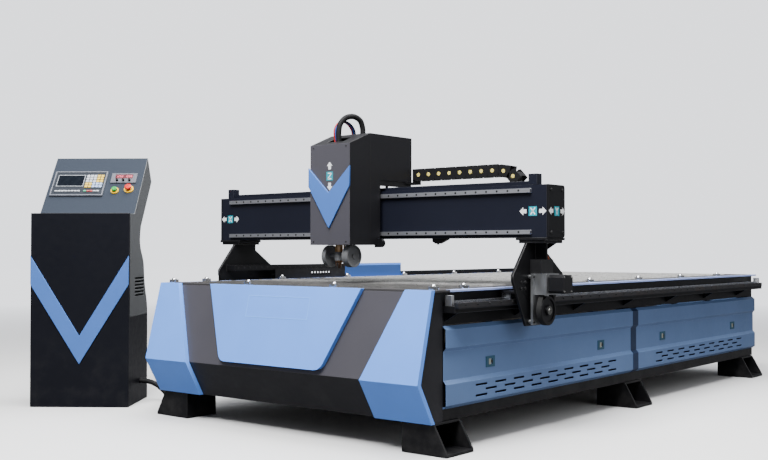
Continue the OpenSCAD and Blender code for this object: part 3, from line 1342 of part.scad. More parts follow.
// Every piece in its place
module placed() translate([-mid_x, -mid_y, 0]) children();
placed() side_beams();
placed() frame_members();
placed() feet();
placed() front_upper_panel();
placed() front_lower_panel();
placed() front_covers();
placed() skirt_panels();
placed() panel_latches();
placed() top_rim();
placed() slats();
placed() slat_supports();
placed() slag_trays();
placed() rail_ledges();
placed() y_rails();
placed() y_racks();
placed() rail_end_stops();
placed() ball_units();
placed() y_chain_tray();
placed() y_chain();
placed() cabinet_base();
placed() cabinet_shell();
placed() cabinet_front();
placed() cabinet_chevron();
placed() controller();
placed() controller_screen();
placed() controller_keys();
placed() height_meter();
placed() button_collars();
placed() start_button();
placed() emergency_stop();
placed() meter_knob(-1);  // meter_knob_1
placed() meter_knob(0);  // meter_knob_2
placed() meter_knob(1);  // meter_knob_3
placed() power_conduit();
placed() gantry_beam();
placed() beam_end_caps();
placed() beam_guides();
placed() uprights();
placed() y_bearing_blocks();
placed() drive_brackets();
placed() y_motors();
placed() drive_belts();
placed() beam_tray();
placed() x_chain();
placed() right_pinion_drive();
placed() left_pinion_drive();
placed() right_motor_pulley();
placed() left_motor_pulley();
placed() carriage();
placed() carriage_guides();
placed() head_motors();
placed() x_pinion();
placed() head_cover();
placed() head_front_plate();
placed() head_chevron();
placed() head_cables();
placed() z_screw();
placed() torch_slide();
placed() torch_holder();
placed() torch();
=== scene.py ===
from math import cos, pi, radians, sin

import bpy
import numpy as np
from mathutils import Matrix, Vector


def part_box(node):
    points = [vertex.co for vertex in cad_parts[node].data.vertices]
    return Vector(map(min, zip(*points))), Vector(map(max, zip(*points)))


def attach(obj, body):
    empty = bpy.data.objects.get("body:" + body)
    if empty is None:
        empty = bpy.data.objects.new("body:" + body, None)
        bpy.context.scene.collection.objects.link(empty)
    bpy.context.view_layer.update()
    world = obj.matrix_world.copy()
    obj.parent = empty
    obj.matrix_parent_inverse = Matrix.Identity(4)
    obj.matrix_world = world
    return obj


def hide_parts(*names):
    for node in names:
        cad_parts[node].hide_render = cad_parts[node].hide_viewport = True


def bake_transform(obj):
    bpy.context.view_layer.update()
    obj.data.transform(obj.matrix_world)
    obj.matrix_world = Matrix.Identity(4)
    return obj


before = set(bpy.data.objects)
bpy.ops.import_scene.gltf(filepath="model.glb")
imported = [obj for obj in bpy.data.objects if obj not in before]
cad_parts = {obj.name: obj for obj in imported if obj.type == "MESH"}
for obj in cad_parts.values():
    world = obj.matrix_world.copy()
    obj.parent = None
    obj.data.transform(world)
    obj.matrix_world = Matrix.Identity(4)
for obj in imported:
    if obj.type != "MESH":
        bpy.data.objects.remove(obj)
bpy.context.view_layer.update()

bl_info = {
    "name": "Plasma cutting table",
    "version": (1, 0, 0),
    "blender": (4, 5, 0),
    "location": "View3D > Sidebar > Plasma table",
    "description": "Dresses the gantry plasma table with paint, steel, chains, cables and fasteners",
    "category": "Object",
}

MM = 0.001
UP = (0, 0, 1)
FRONT = (0, -1, 0)
SIDES = (("left", -1), ("right", 1))

# The bed's own axes: X from its middle line, Y from the fascia's top edge, Z from the floor, in millimetres
BEAM = [np.array(c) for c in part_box("gantry_beam")]
RIM = [np.array(c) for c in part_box("top_rim")]
BED_LENGTH = 3866
BED_TOP = 710
BED_ZERO = np.array([(BEAM[0][0] + BEAM[1][0]) / 2, RIM[1][1] - BED_LENGTH * MM, 0.0])


def bed(points):
    """Metres in the shared frame of points given in the bed's own millimetres."""
    return np.asarray(points, float) * MM + BED_ZERO


# A datum is an origin in metres and three axes in rows. The console's run across it, up its slope and out.
BED_DATUM = (BED_ZERO, np.eye(3))
CABINET_TURN = radians(37.3)
CABINET_OUT = np.array([cos(CABINET_TURN), sin(CABINET_TURN), 0])
CABINET_BACK = np.array([-sin(CABINET_TURN), cos(CABINET_TURN), 0])
CABINET_ZERO = np.array([-1492.0, -98.0, 0.0])
CONSOLE_RISE, CONSOLE_RUN = 346, 290
CONSOLE_SETBACK, CONSOLE_LOW = 130, 1092
CONSOLE_LENGTH = np.hypot(CONSOLE_RISE, CONSOLE_RUN)
CONSOLE_UP = (CABINET_BACK * CONSOLE_RUN + np.array([0, 0, CONSOLE_RISE])) / CONSOLE_LENGTH
CONSOLE_ZERO = bed(CABINET_ZERO + CABINET_BACK * CONSOLE_SETBACK + np.array([0, 0, CONSOLE_LOW]))
CONSOLE_DATUM = (CONSOLE_ZERO, np.stack([CABINET_OUT, CONSOLE_UP, np.cross(CABINET_OUT, CONSOLE_UP)]))


def console(points):
    """Metres in the shared frame of points given in millimetres on the console."""
    origin, axes = CONSOLE_DATUM
    return np.asarray(points, float) * MM @ axes + origin


# Settings


def colour_prop(name, description, default):
    """A colour that a user may change."""
    return bpy.props.FloatVectorProperty(
        name=name, description=description, subtype="COLOR", size=3, min=0, max=1, default=default)


def length_prop(name, description, low, high, default):
    """A length in metres that a user may change."""
    return bpy.props.FloatProperty(
        name=name, description=description, subtype="DISTANCE", unit="LENGTH",
        min=low, max=high, default=default)


class PlasmaPaint(bpy.types.PropertyGroup):
    """Colours of the painted and plain surfaces."""

    blue: colour_prop("Cover blue", "Powder coat of the covers and chevrons", (0.13, 0.33, 0.97))
    # The skirt blue is a darker copy of the cover blue: painted shade on the side panels
    skirt: colour_prop("Skirt blue", "Powder coat of the side panels", (0.118, 0.200, 0.390))
    black: colour_prop("Frame black", "Paint of frame, feet and legs", (0.006, 0.006, 0.007))
    navy: colour_prop("Beam black", "Paint of the gantry beam", (0.0042, 0.0048, 0.0085))
    grey: colour_prop("Fascia grey", "Paint of the fascia and the head's front", (0.062, 0.060, 0.071))
    # One grey in two copies: the console grey darkened as painted shade on the sloping face, the shell grey
    # lightened as painted light on the cabinet's sides
    console: colour_prop("Console grey", "Paint of the console's sloping face", (0.032, 0.040, 0.055))
    shell: colour_prop("Shell grey", "Paint of the cabinet's shell", (0.115, 0.12, 0.125))
    label: colour_prop("Label teal", "Ground of the axis labels", (0.005, 0.30, 0.38))


class PlasmaSizes(bpy.types.PropertyGroup):
    """Sizes of the dressing."""

    edge: length_prop("Edge radius", "Rounding of folded and machined edges", 0, 0.01, 0.0022)
    peel: length_prop("Paint texture", "Depth of the powder coat's texture", 0, 0.001, 0.00012)
    rail_bolt_pitch: length_prop("Rail bolt pitch", "Distance of the rails' bolts", 0.03, 0.2, 0.06)
    cross_links: length_prop("Cross chain pitch", "Length of one link of the cross chain", 0.03, 0.1, 0.067)
    side_links: length_prop("Side chain pitch", "Length of one link of the long chain", 0.03, 0.1, 0.047)


# Shader maths


def maths(operation):
    """A method that puts its value and another one, or a number, into a maths node."""
    def method(self, other):
        return self.paint.node("ShaderNodeMath", {"operation": operation}, {0: self, 1: other})

    return method


class Value:
    """A shader socket that takes part in sums as a number does."""

    __add__ = __radd__ = maths("ADD")
    __mul__ = __rmul__ = maths("MULTIPLY")
    __pow__ = maths("POWER")
    __gt__ = maths("GREATER_THAN")
    __lt__ = maths("LESS_THAN")

    def __init__(self, paint, socket):
        self.paint = paint
        self.socket = socket

    def __rsub__(self, other):
        return self.paint.node("ShaderNodeMath", {"operation": "SUBTRACT"}, {0: other, 1: self})

    def band(self, low, high):
        """0 at low, 1 at high and even in between, and no further beyond them."""
        inputs = {"Value": self, "From Min": low, "From Max": high}
        return self.paint.node("ShaderNodeMapRange", {"clamp": True}, inputs)


class Paint:
    """A new material with its main shader; node() adds any other node."""

    def __init__(self, name, **sockets):
        self.material = bpy.data.materials.new(name)
        self.material.use_nodes = True
        self.nodes = self.material.node_tree.nodes
        self.links = self.material.node_tree.links
        self.shader = self.nodes["Principled BSDF"]
        for key, value in sockets.items():
            self.set(key.replace("_", " "), value)
        self.place = self.node("ShaderNodeTexCoord", {}, {}, "Object")

    def feed(self, socket, value):
        """Links a value to a socket, or sets a plain number, vector or colour on it."""
        if isinstance(value, Value):
            self.links.new(value.socket, socket)
        elif hasattr(value, "__len__") and len(value) == 3 and socket.type == "RGBA":
            socket.default_value = (*value, 1)
        else:
            socket.default_value = value

    def set(self, name, value):
        """Feeds a socket of the main shader."""
        self.feed(self.shader.inputs[name], value)

    def current(self, name):
        """What feeds a socket of the main shader now."""
        socket = self.shader.inputs[name]
        return Value(self, socket.links[0].from_socket) if socket.is_linked else socket.default_value

    def node(self, kind, settings, inputs, output=0):
        """A node of that type, with its settings and its sockets' values or links."""
        node = self.nodes.new(kind)
        for key, value in settings.items():
            setattr(node, key, value)
        for key, value in inputs.items():
            self.feed(node.inputs[key], value)
        return Value(self, node.outputs[output])

    def mix(self, factor, low, high):
        """Colour between low and high; the numbers are the mix node's colour sockets."""
        return self.node("ShaderNodeMix", {"data_type": "RGBA"}, {0: factor, 6: low, 7: high}, 2)

    def tones(self, factor, colour, low, high):
        """A colour between two shades of itself."""
        return self.mix(factor, shade(colour, low), shade(colour, high))

    def noise(self, scale, detail=3.0, roughness=0.55, stretch=None, seed=0.0):
        """Noise of that many waves per metre, drawn out along an axis if stretch says so."""
        place = self.place
        if stretch is not None or seed:
            place = self.node("ShaderNodeMapping", {}, {
                "Vector": self.place, "Scale": stretch or (1, 1, 1), "Location": (seed, seed, seed)})
        return self.node("ShaderNodeTexNoise", {}, {
            "Vector": place, "Scale": scale, "Detail": detail, "Roughness": roughness}, "Fac")

    def axis(self, name):
        """One coordinate of the object's place, in metres."""
        return self.node("ShaderNodeSeparateXYZ", {}, {0: self.place}, name)

    def inside(self, low, high, datum):
        """1 inside a box given in a datum's millimetres, else 0."""
        origin, axes = datum
        result = 1.0
        for axis, a, b in zip(axes, low, high):
            inputs = {0: self.place, 1: tuple(axis)}
            along = self.node("ShaderNodeVectorMath", {"operation": "DOT_PRODUCT"}, inputs, "Value")
            base = float(origin @ axis)
            result = result * (along > base + a * MM) * (along < base + b * MM)
        return result

    def recoat(self, low, high, colour, datum=BED_DATUM):
        """Paints over what lies inside a box, without metal."""
        inside = self.inside(low, high, datum)
        self.set("Base Color", self.mix(inside, self.current("Base Color"), colour))
        self.set("Metallic", (1 - inside) * self.current("Metallic"))

    def surface(self, colour, rough, height=None, depth=0.0, strength=0.5, recoats=()):
        """The material with its colour, roughness, bump of a depth in metres, and boxes painted over."""
        self.set("Base Color", colour)
        self.set("Roughness", rough)
        if height is not None:
            inputs = {"Height": height, "Distance": depth, "Strength": strength}
            self.set("Normal", self.node("ShaderNodeBump", {}, inputs))
        for box in recoats:
            self.recoat(*box)
        return self.material


# Materials

DUST = (0.22, 0.21, 0.2)
STAIN = (0.16, 0.10, 0.06)
RUST = (0.20, 0.12, 0.07)
BURN = (0.05, 0.047, 0.045)
# Painted shade: this colour is the gantry beam's shadow darkening the front slats
PAINTED_SHADOW = (0.055, 0.05, 0.047)
# Along the bed, a painted shadow of the gantry beam covers the slats up to the first of these places and ends
# at the second
PAINTED_SHADOW_SPAN = (430, 760)
HEAT_DARK, HEAT_STRAW = (0.10, 0.07, 0.06), (0.42, 0.22, 0.10)
GLASS, SMUDGE = (0.005, 0.007, 0.011), (0.009, 0.012, 0.017)


def shade(colour, factor):
    """A colour made lighter or darker."""
    return tuple(min(1.0, max(0.0, c * factor)) for c in colour)


def powder_coat(name, colour, depth, rough, dust, grain=1.0, gloss=0.3, recoats=()):
    """Powder coat: orange-peel bump, cloudy tone, and dust that gathers near the floor."""
    paint = Paint(name, Specular_IOR_Level=gloss)
    tone = paint.tones(paint.noise(2.3, 4).band(0.3, 0.7), colour, 0.93, 1.07)
    speck = paint.noise(420 * grain, 2).band(0.52, 0.75)
    tone = paint.mix(speck * 0.22, tone, shade(colour, 1.35))
    settle = paint.noise(9, 5, 0.65).band(0.45, 0.8) * paint.axis("Z").band(0.45, 0.0) * dust
    uneven = paint.noise(33, 3).band(0.2, 0.8) * 0.12 + (rough - 0.06)
    peel = paint.noise(650 * grain, 2)
    return paint.surface(paint.mix(settle, tone, DUST), uneven, peel, depth, 0.6, recoats)


def worn_and_highlight_edge(name, colour):
    """Paint rubbed thin along an edge, lighter and glossier in patches, and lighter all along as a painted
    highlight.
    """
    paint = Paint(name)
    # Lighter all along the edge as a painted highlight, and lighter still in worn patches
    rub = paint.noise(60, 4, 0.7).band(0.5, 0.72)
    return paint.surface(paint.tones(rub * 0.7, colour, 1.05, 1.5), 0.42 - rub * 0.14)


def drawn_steel(name, colour, rough, stretch, stain):
    """Ground steel: fine lines along one axis, faint brown stain in patches."""
    paint = Paint(name, Metallic=1.0)
    line = paint.noise(900, 3, 0.6, stretch)
    patch = paint.noise(6, 5, 0.62, seed=3.0).band(0.5, 0.85) * stain
    tone = paint.tones(line.band(0.3, 0.7), colour, 0.84, 1.12)
    uneven = line.band(0.2, 0.8) * 0.14 + patch * 0.4 + (rough - 0.05)
    return paint.surface(paint.mix(patch, tone, STAIN), uneven, line, 0.00008)


def scaled_steel(name, colour):
    """Mill steel of the bed: scale, rust patches, burnt specks from cutting, and a painted shadow of the
    gantry beam over the front slats.
    """
    paint = Paint(name)
    scale = paint.noise(26, 5, 0.65)
    rust = paint.noise(7, 5, 0.7, seed=5.0).band(0.52, 0.74)
    burnt = paint.noise(110, 3, 0.6, seed=9.0).band(0.62, 0.7)
    front, back = (float(bed((0, y, 0))[1]) for y in PAINTED_SHADOW_SPAN)
    # Painted shadow of the gantry beam: darker towards the front of the bed
    painted_shadow = paint.axis("Y").band(back, front)
    tone = paint.tones(scale.band(0.3, 0.7), colour, 0.72, 1.2)
    for share, dirt in ((rust * 0.4, RUST), (burnt * 0.6, BURN), (painted_shadow * 0.75, PAINTED_SHADOW)):
        tone = paint.mix(share, tone, dirt)
    paint.set("Metallic", 0.6 - rust * 0.5)
    uneven = 0.46 + rust * 0.34 + burnt * 0.1
    return paint.surface(tone, uneven, scale + rust * 0.6 + burnt, 0.0005)


def moulded(name, colour, rough, depth=0.00006, coat=0.0, recoats=()):
    """Moulded plastic or rubber: a fine grain and slight fading."""
    paint = Paint(name, Coat_Weight=coat, Specular_IOR_Level=0.25)
    fade = paint.noise(14, 3)
    tone = paint.tones(fade.band(0.3, 0.7), colour, 0.9, 1.1)
    uneven = fade.band(0.25, 0.75) * 0.1 + (rough - 0.05)
    return paint.surface(tone, uneven, paint.noise(1500, 2), depth, recoats=recoats)


def cast_bright(name, colour, rough, recoats=()):
    """Milled aluminium: fine cutter marks both ways."""
    paint = Paint(name, Metallic=1.0)
    marks = paint.noise(700, 3, 0.6, (1, 1, 0.06)) * 0.5 + paint.noise(500, 2, 0.6, (1, 0.06, 1), 2.0) * 0.5
    tone = paint.tones(marks.band(0.35, 0.65), colour, 0.86, 1.08)
    smear = paint.noise(12, 4, seed=4.0).band(0.3, 0.7) * 0.16 + (rough - 0.06)
    return paint.surface(tone, smear, marks, 0.00006, recoats=recoats)


def polished(name, colour):
    """Polished metal with faint handling smears."""
    paint = Paint(name, Metallic=1.0)
    smear = paint.noise(45, 4, 0.6)
    tone = paint.tones(smear.band(0.4, 0.8), colour, 1.0, 0.86)
    return paint.surface(tone, smear.band(0.35, 0.8) * 0.18 + 0.08)


def heat_stained(name, colour):
    """Torch metal: bright above, with straw and then dark heat bands towards the tip."""
    paint = Paint(name, Metallic=1.0)
    height = paint.axis("Z") + paint.noise(60, 3) * 0.02
    tone = paint.mix(height.band(0.80, 0.86), HEAT_DARK, HEAT_STRAW)
    tone = paint.mix(height.band(0.86, 0.94), tone, colour)
    return paint.surface(tone, paint.noise(80, 4).band(0.3, 0.7) * 0.2 + 0.25)


def dark_screen(name):
    """Display that is switched off: nearly black glass with a few smudges."""
    paint = Paint(name, Specular_IOR_Level=0.12)
    smudge = paint.noise(30, 3).band(0.4, 0.8)
    return paint.surface(paint.mix(smudge, GLASS, SMUDGE), smudge * 0.1 + 0.16)


def plain_paint(name, colour, rough=0.4):
    """Printed ink or enamel: nearly even, with a trace of wear."""
    paint = Paint(name)
    wear = paint.noise(180, 4, 0.65).band(0.55, 0.8)
    return paint.surface(paint.tones(wear * 0.25, colour, 1.0, 0.72), wear * 0.15 + rough)


def glowing(name, colour, strength):
    """Lit plastic: an even glow with faint unevenness."""
    paint = Paint(name, Emission_Strength=strength)
    tone = paint.tones(paint.noise(90, 2), colour, 0.9, 1.0)
    paint.set("Emission Color", tone)
    return paint.surface(tone, 0.3)


# Surfaces


def add_piece(name, vertices, faces, materials, body=None, slots=None, smooth=False):
    """A mesh from arrays of vertices and faces, with each face's material slot, on its body."""
    mesh = bpy.data.meshes.new(name)
    mesh.from_pydata(np.asarray(vertices, float).tolist(), [], [list(f) for f in faces])
    for material in materials:
        mesh.materials.append(material)
    if slots is not None:
        mesh.polygons.foreach_set("material_index", np.asarray(slots, np.int32))
    mesh.polygons.foreach_set("use_smooth", np.full(len(mesh.polygons), smooth))
    mesh.update()
    piece = bpy.data.objects.new(name, mesh)
    bpy.context.collection.objects.link(piece)
    if body:
        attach(piece, body)
    return piece


def add_group(name, parts, materials, body, place=bed):
    """One piece from parts of vertices and faces, each followed by its slot where that isn't the first."""
    vertices, faces, slots = [], [], []
    count = 0
    for points, polygons, *slot in parts:
        vertices.append(points)
        faces += [[i + count for i in polygon] for polygon in polygons]
        slots += (slot or [0]) * len(polygons)
        count += len(points)
    return add_piece(name, place(np.concatenate(vertices)), faces, materials, body, slots)


def grid_faces(rows, columns, wrap=True):
    """Quads of a grid of points; wrap joins the last column to the first."""
    last = columns if wrap else columns - 1
    r, c = np.meshgrid(np.arange(rows - 1), np.arange(last), indexing="ij")
    a = (r * columns + c).ravel()
    b = (r * columns + (c + 1) % columns).ravel()
    return np.stack([a, b, b + columns, a + columns], 1)


def turned(profile, columns):
    """Profile of (radius, height) points turned about Z: x = r cos t, y = r sin t, z = h.

    A profile that would face inwards is taken from its other end."""
    profile = np.asarray(profile, float)
    r, h = profile.T
    if np.sum(r * np.roll(h, -1) - np.roll(r, -1) * h) < 0:
        profile = profile[::-1]
    angle = np.linspace(0, 2 * pi, columns, endpoint=False)
    ring = np.stack([np.cos(angle), np.sin(angle), np.zeros(columns)], 1)
    vertices = profile[:, None, :1] * ring[None] + np.array(UP) * profile[:, None, 1:]
    return vertices.reshape(-1, 3), grid_faces(len(profile), columns)


def copies(vertices, faces, points, direction):
    """Copies of a shape, one at each point, with its Z axis along an axis of the frame, either way."""
    points = np.asarray(points, float)
    z = np.asarray(direction, float)
    x = np.cross(UP if abs(z[2]) < 0.9 else (1, 0, 0), z)
    moved = points[:, None] + vertices @ np.stack([x, np.cross(z, x), z])
    step = np.arange(len(points)) * len(vertices)
    return moved.reshape(-1, 3), (faces + step[:, None, None]).reshape(-1, faces.shape[1])


def smooth_path(points, count):
    """Points along a Catmull-Rom curve through the route, evenly spaced by length."""
    p = np.asarray(points, float)
    p = np.concatenate([[2 * p[0] - p[1]], p, [2 * p[-1] - p[-2]]])
    t = np.linspace(0, 1, 24, endpoint=False)[:, None]
    spans = []
    for a, b, c, d in zip(p, p[1:], p[2:], p[3:]):
        square, cube = 2 * a - 5 * b + 4 * c - d, 3 * b - a - 3 * c + d
        spans.append(0.5 * (2 * b + (c - a) * t + square * t ** 2 + cube * t ** 3))
    fine = np.concatenate(spans + [p[-2:-1]])
    length = np.concatenate([[0], np.cumsum(np.linalg.norm(np.diff(fine, axis=0), axis=1))])
    at = np.linspace(0, length[-1], count)
    return np.stack([np.interp(at, length, fine[:, k]) for k in range(3)], 1)


def bezier(a, b, c, d, count):
    """Cubic curve between a and d with handles b and c."""
    t = np.linspace(0, 1, count)[:, None]
    return (1 - t) ** 3 * a + 3 * (1 - t) ** 2 * t * b + 3 * (1 - t) * t ** 2 * c + t ** 3 * d


def tube(path, radius, sides):
    """Circle carried along a path: centre + r (u cos t + v sin t), with u and v kept from twisting.

    There is a radius for each point of the path, and the ends are closed."""
    along = np.gradient(path, axis=0)
    along /= np.linalg.norm(along, axis=1)[:, None]
    u = np.cross(along[0], (0.3, 0.5, 0.8))
    pairs = []
    for d in along:
        u = u - d * (u @ d)
        u = u / np.linalg.norm(u)
        pairs.append((u, np.cross(d, u)))
    pairs = np.array(pairs)
    angle = np.linspace(0, 2 * pi, sides, endpoint=False)[:, None]
    ring = np.cos(angle) * pairs[:, None, 0] + np.sin(angle) * pairs[:, None, 1]
    vertices = path[:, None] + ring * radius[:, None, None]
    count = len(path)
    caps = [list(range(sides))[::-1], list(range((count - 1) * sides, count * sides))]
    return vertices.reshape(-1, 3), grid_faces(count, sides).tolist() + caps


def slab(corners, out, low, high):
    """Flat polygon carried along out from low to high, with closed ends and every face outwards."""
    corners, out = np.asarray(corners, float), np.asarray(out, float)
    area = np.cross(corners, np.roll(corners, -1, axis=0)).sum(0)
    if area @ out * (high - low) < 0:
        corners = corners[::-1]
    n = len(corners)
    sides = [[i, (i + 1) % n, n + (i + 1) % n, n + i] for i in range(n)]
    ends = [list(range(n))[::-1], list(range(n, 2 * n))]
    return np.concatenate([corners + out * low, corners + out * high]), sides + ends


def prism(outline, low, high):
    """Flat outline of (x, z) points carried along y from low to high."""
    x, z = np.asarray(outline, float).T
    return slab(np.stack([x, 0 * x, z], 1), (0, 1, 0), low, high)


def block(low, high):
    """Box between two corners."""
    (x0, y0, z0), (x1, y1, z1) = low, high
    return prism([(x0, z0), (x1, z0), (x1, z1), (x0, z1)], y0, y1)


def stroke(a, b, width):
    """Flat bar between two points, as the four corners of a quad."""
    a, b = np.asarray(a, float), np.asarray(b, float)
    side = np.array([a[1] - b[1], b[0] - a[0]])
    side = side / np.linalg.norm(side) * width / 2
    return [a + side, a - side, b - side, b + side]


def pierced_plate(along, up, solid, x0, x1):
    """Plate between two x planes: cells over y and z, walled wherever a solid cell meets an open one."""
    solid = np.pad(solid, 1)
    inner = solid[1:-1, 1:-1]
    y, z = np.meshgrid(along, up)
    count = y.size
    vertices = np.concatenate([np.stack([np.full(count, x), y.ravel(), z.ravel()], 1) for x in (x0, x1)])
    grid = np.arange(count).reshape(y.shape)
    ring = np.stack([grid[:-1, :-1], grid[:-1, 1:], grid[1:, 1:], grid[1:, :-1]], -1)
    faces = [ring[inner] + count, ring[inner][:, ::-1]]
    beyond = (solid[:-2, 1:-1], solid[1:-1, 2:], solid[2:, 1:-1], solid[1:-1, :-2])
    for k, neighbour in enumerate(beyond):
        a, b = ring[inner & ~neighbour][:, [k, (k + 1) % 4]].T
        faces.append(np.stack([a, b, b + count, a + count], 1))
    return vertices, np.concatenate(faces)


# Paint on the solids

WELD_GAP = 1e-5
EDGE_ANGLE = radians(40)


def dress(names, material, width=0.0, edge=None):
    """Gives solids a material, and rounds their edges where a width is given, in a second material if any."""
    for name in names.split():
        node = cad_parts[name]
        node.data.materials.clear()
        node.data.materials.append(material)
        if not width:
            continue
        if edge:
            node.data.materials.append(edge)
        weld = node.modifiers.new("Join", "WELD")
        weld.merge_threshold = WELD_GAP
        bevel = node.modifiers.new("Edge", "BEVEL")
        bevel.width = width
        bevel.segments = 2
        bevel.limit_method = "ANGLE"
        bevel.angle_limit = EDGE_ANGLE
        bevel.material = 1 if edge else -1
        even = node.modifiers.new("Even", "WEIGHTED_NORMAL")
        even.mode = "FACE_AREA"
        even.weight = 100


# Boxes painted over, by two corners: the console's slope in painted shade, and the chain's guard, its face in
# painted shade below and its top above
SHADED_SLOPE_BOX = ((-400, 2, -3), (400, CONSOLE_LENGTH, 5))
# The guard's face takes a darker copy of the cover blue as painted shade, and its top keeps the cover blue
GUARD_SHADED_FACE_BOX = ((-909.2, 1490, 704.2), (-904, 2090, 784))
GUARD_TOP_BOX = ((-909.2, 1490, 784), (-904, 2090, 800))


class PLASMA_OT_paint(bpy.types.Operator):
    """Paint the welded frame, covers, gantry, head and cabinet"""

    bl_idname = "plasma.paint"
    bl_label = "Paint the sheet metal"

    def execute(self, context):
        colours = context.scene.plasma_paint
        sizes = context.scene.plasma_sizes
        blue, black, navy = tuple(colours.blue), tuple(colours.black), tuple(colours.navy)
        shaded_slope = (*SHADED_SLOPE_BOX, tuple(colours.console), CONSOLE_DATUM)
        # Guard face in painted shade, top in the cover blue
        guard_with_shade = [(*GUARD_SHADED_FACE_BOX, shade(blue, 0.27)), (*GUARD_TOP_BOX, blue)]
        # Each coat: its colour, roughness, dust, solids, grain, gloss and the boxes painted over
        coats = {
            "frame_black": (black, 0.4, 0.12, "side_beams frame_members feet rail_ledges", 1.0, 0.2),
            "cover_blue": (blue, 0.36, 0.06, "front_covers", 1.0, 0.3),
            # Chevrons in half the cover blue: painted shade for faces that the light reaches less
            "chevron_blue": (shade(blue, 0.5), 0.4, 0.06, "cabinet_chevron head_chevron", 1.0, 0.3),
            # Side panels in a darker copy of the cover blue, as painted shade
            "skirt_blue": (colours.skirt, 0.4, 0.12, "skirt_panels", 1.0, 0.3),
            "fascia_grey": (colours.grey, 0.42, 0.1, "front_upper_panel head_front_plate", 1.0, 0.25),
            "fascia_black": (shade(black, 3.2), 0.45, 0.1, "front_lower_panel", 1.0, 0.2),
            # Shell in a lightened grey as painted light, with its sloping face recoated darker as painted
            # shade
            "console_grey": (colours.shell, 0.6, 0.1, "cabinet_shell", 0.5, 0.08, [shaded_slope]),
            "cabinet_black": (shade(navy, 0.9), 0.42, 0.06, "cabinet_base cabinet_front", 0.5, 0.2),
            "beam_black": (shade(navy, 2.0), 0.36, 0.1, "gantry_beam beam_tray", 1.0, 0.2),
            "tray_black": (black, 0.4, 0.1, "y_chain_tray", 1.0, 0.2, guard_with_shade),
            "leg_black": (black, 0.38, 0.1, "uprights carriage beam_end_caps", 1.0, 0.2),
            "head_black": (shade(black, 1.9), 0.4, 0.1, "head_cover", 1.0, 0.2),
            "motor_black": (shade(black, 1.2), 0.35, 0.1, "y_motors head_motors", 1.4, 0.3),
        }
        for name, (colour, rough, dust, nodes, *rest) in coats.items():
            paint = powder_coat(name, tuple(colour), sizes.peel, rough, dust, *rest)
            # Rounded edges take the lighter edge paint: wear in patches and a painted highlight along the
            # whole edge
            dress(nodes, paint, sizes.edge, worn_and_highlight_edge(name + "_edge", tuple(colour)))
        return {"FINISHED"}


# Boxes painted over: the pale strip on each side of the rim, and the cable box on each drive bracket
STRIPS = [((x - 13, 130, 690), (x + 13, 3870, 715), (0.36, 0.45, 0.80)) for x in (-893, 893)]
CABLE_BOXES = [((x - 60, 600, 773.2), (x + 60, 790, 850), (0.008, 0.008, 0.009)) for x in (-1030, 1030)]
# Rounded edges in metres
RIM_EDGE, MACHINED_EDGE = 0.001, 0.0015


class PLASMA_OT_steel(bpy.types.Operator):
    """Finish the rails, racks, rim, slats and drives"""

    bl_idname = "plasma.steel"
    bl_label = "Finish the bare metal"

    def execute(self, context):
        peel = context.scene.plasma_sizes.peel
        grey = (0.055, 0.053, 0.055)
        rim = powder_coat("rim_paint", grey, peel, 0.75, dust=0.0, gloss=0.03, recoats=STRIPS)
        rail = drawn_steel("rail_steel", (0.62, 0.64, 0.68), 0.24, (1, 0.03, 1), 0.05)
        cross = drawn_steel("cross_rail_steel", (0.56, 0.57, 0.61), 0.42, (0.005, 1, 1), 0.03)
        rack = drawn_steel("rack_steel", (0.075, 0.075, 0.08), 0.45, (1, 1, 0.05), 0.3)
        pulley = drawn_steel("pulley_black", (0.045, 0.045, 0.048), 0.45, (0.05, 1, 1), 0.05)
        milled = cast_bright("milled_aluminium", (0.55, 0.56, 0.58), 0.34)
        bracket = cast_bright("bracket_aluminium", (0.42, 0.43, 0.44), 0.4, CABLE_BOXES)
        dress("top_rim", rim, RIM_EDGE)
        dress("y_rails", rail)
        dress("y_bearing_blocks carriage_guides", rail, MACHINED_EDGE)
        dress("beam_guides z_screw", cross)
        dress("y_racks x_pinion", rack)
        dress("right_pinion_drive left_pinion_drive", pulley)
        dress("slats slat_supports", scaled_steel("bed_steel", (0.74, 0.74, 0.73)))
        dress("slag_trays", scaled_steel("tray_steel", (0.10, 0.095, 0.09)))
        dress("ball_units", polished("ball_chrome", (0.82, 0.83, 0.85)))
        dress("drive_brackets", bracket, MACHINED_EDGE)
        dress("torch_slide", milled, MACHINED_EDGE)
        dress("rail_end_stops", cast_bright("stop_aluminium", (0.78, 0.79, 0.80), 0.3), MACHINED_EDGE)
        dress("right_motor_pulley left_motor_pulley", milled)
        dress("torch_holder", moulded("holder_grey", (0.13, 0.133, 0.138), 0.4))
        dress("torch", heat_stained("torch_metal", (0.50, 0.38, 0.24)))
        dress("drive_belts", moulded("belt_rubber", (0.012, 0.012, 0.012), 0.6, depth=0.0002))
        return {"FINISHED"}


# Controller: its lower left corner on the console and the dark field on its face, in millimetres
UNIT = (-252, 134)
UNIT_FACE = ((UNIT[0] + 7, UNIT[1] + 7, 0), (UNIT[0] + 306, UNIT[1] + 187, 13))
KEY_LIFT = (5, 25)
KEY_YELLOW = (0.72, 0.50, 0.08)
KEY_BLUE = (0.38, 0.48, 0.70)
KEY_GREEN = (0.10, 0.46, 0.26)
KEY_RED = (0.55, 0.10, 0.10)
# Groups of keys in the controller's millimetres: left, lower, right and upper edges, and colour
KEY_COLOURS = [
    (255, 100, 305, 170, KEY_YELLOW), (190, 60, 236, 102, KEY_YELLOW), (236, 60, 305, 102, KEY_BLUE),
    (190, 10, 214, 50, KEY_GREEN), (214, 10, 251.5, 50, KEY_RED)]

# Panel latches: a paddle and a lock in each plate's opening, in the bed's millimetres
LATCH_PLACES = (471.5, 1552.7, 2336.0, 3452.6)
LATCH_Z = 371
LATCH_HALF = (15.2, 13.2)
LATCH_REACH = 1000
LATCH_CREAM = (0.36, 0.37, 0.31)
LATCH_BLACK = (0.006, 0.006, 0.007)

# Rounded edges in metres
HOUSING_EDGE, KEY_EDGE = 0.002, 0.0012


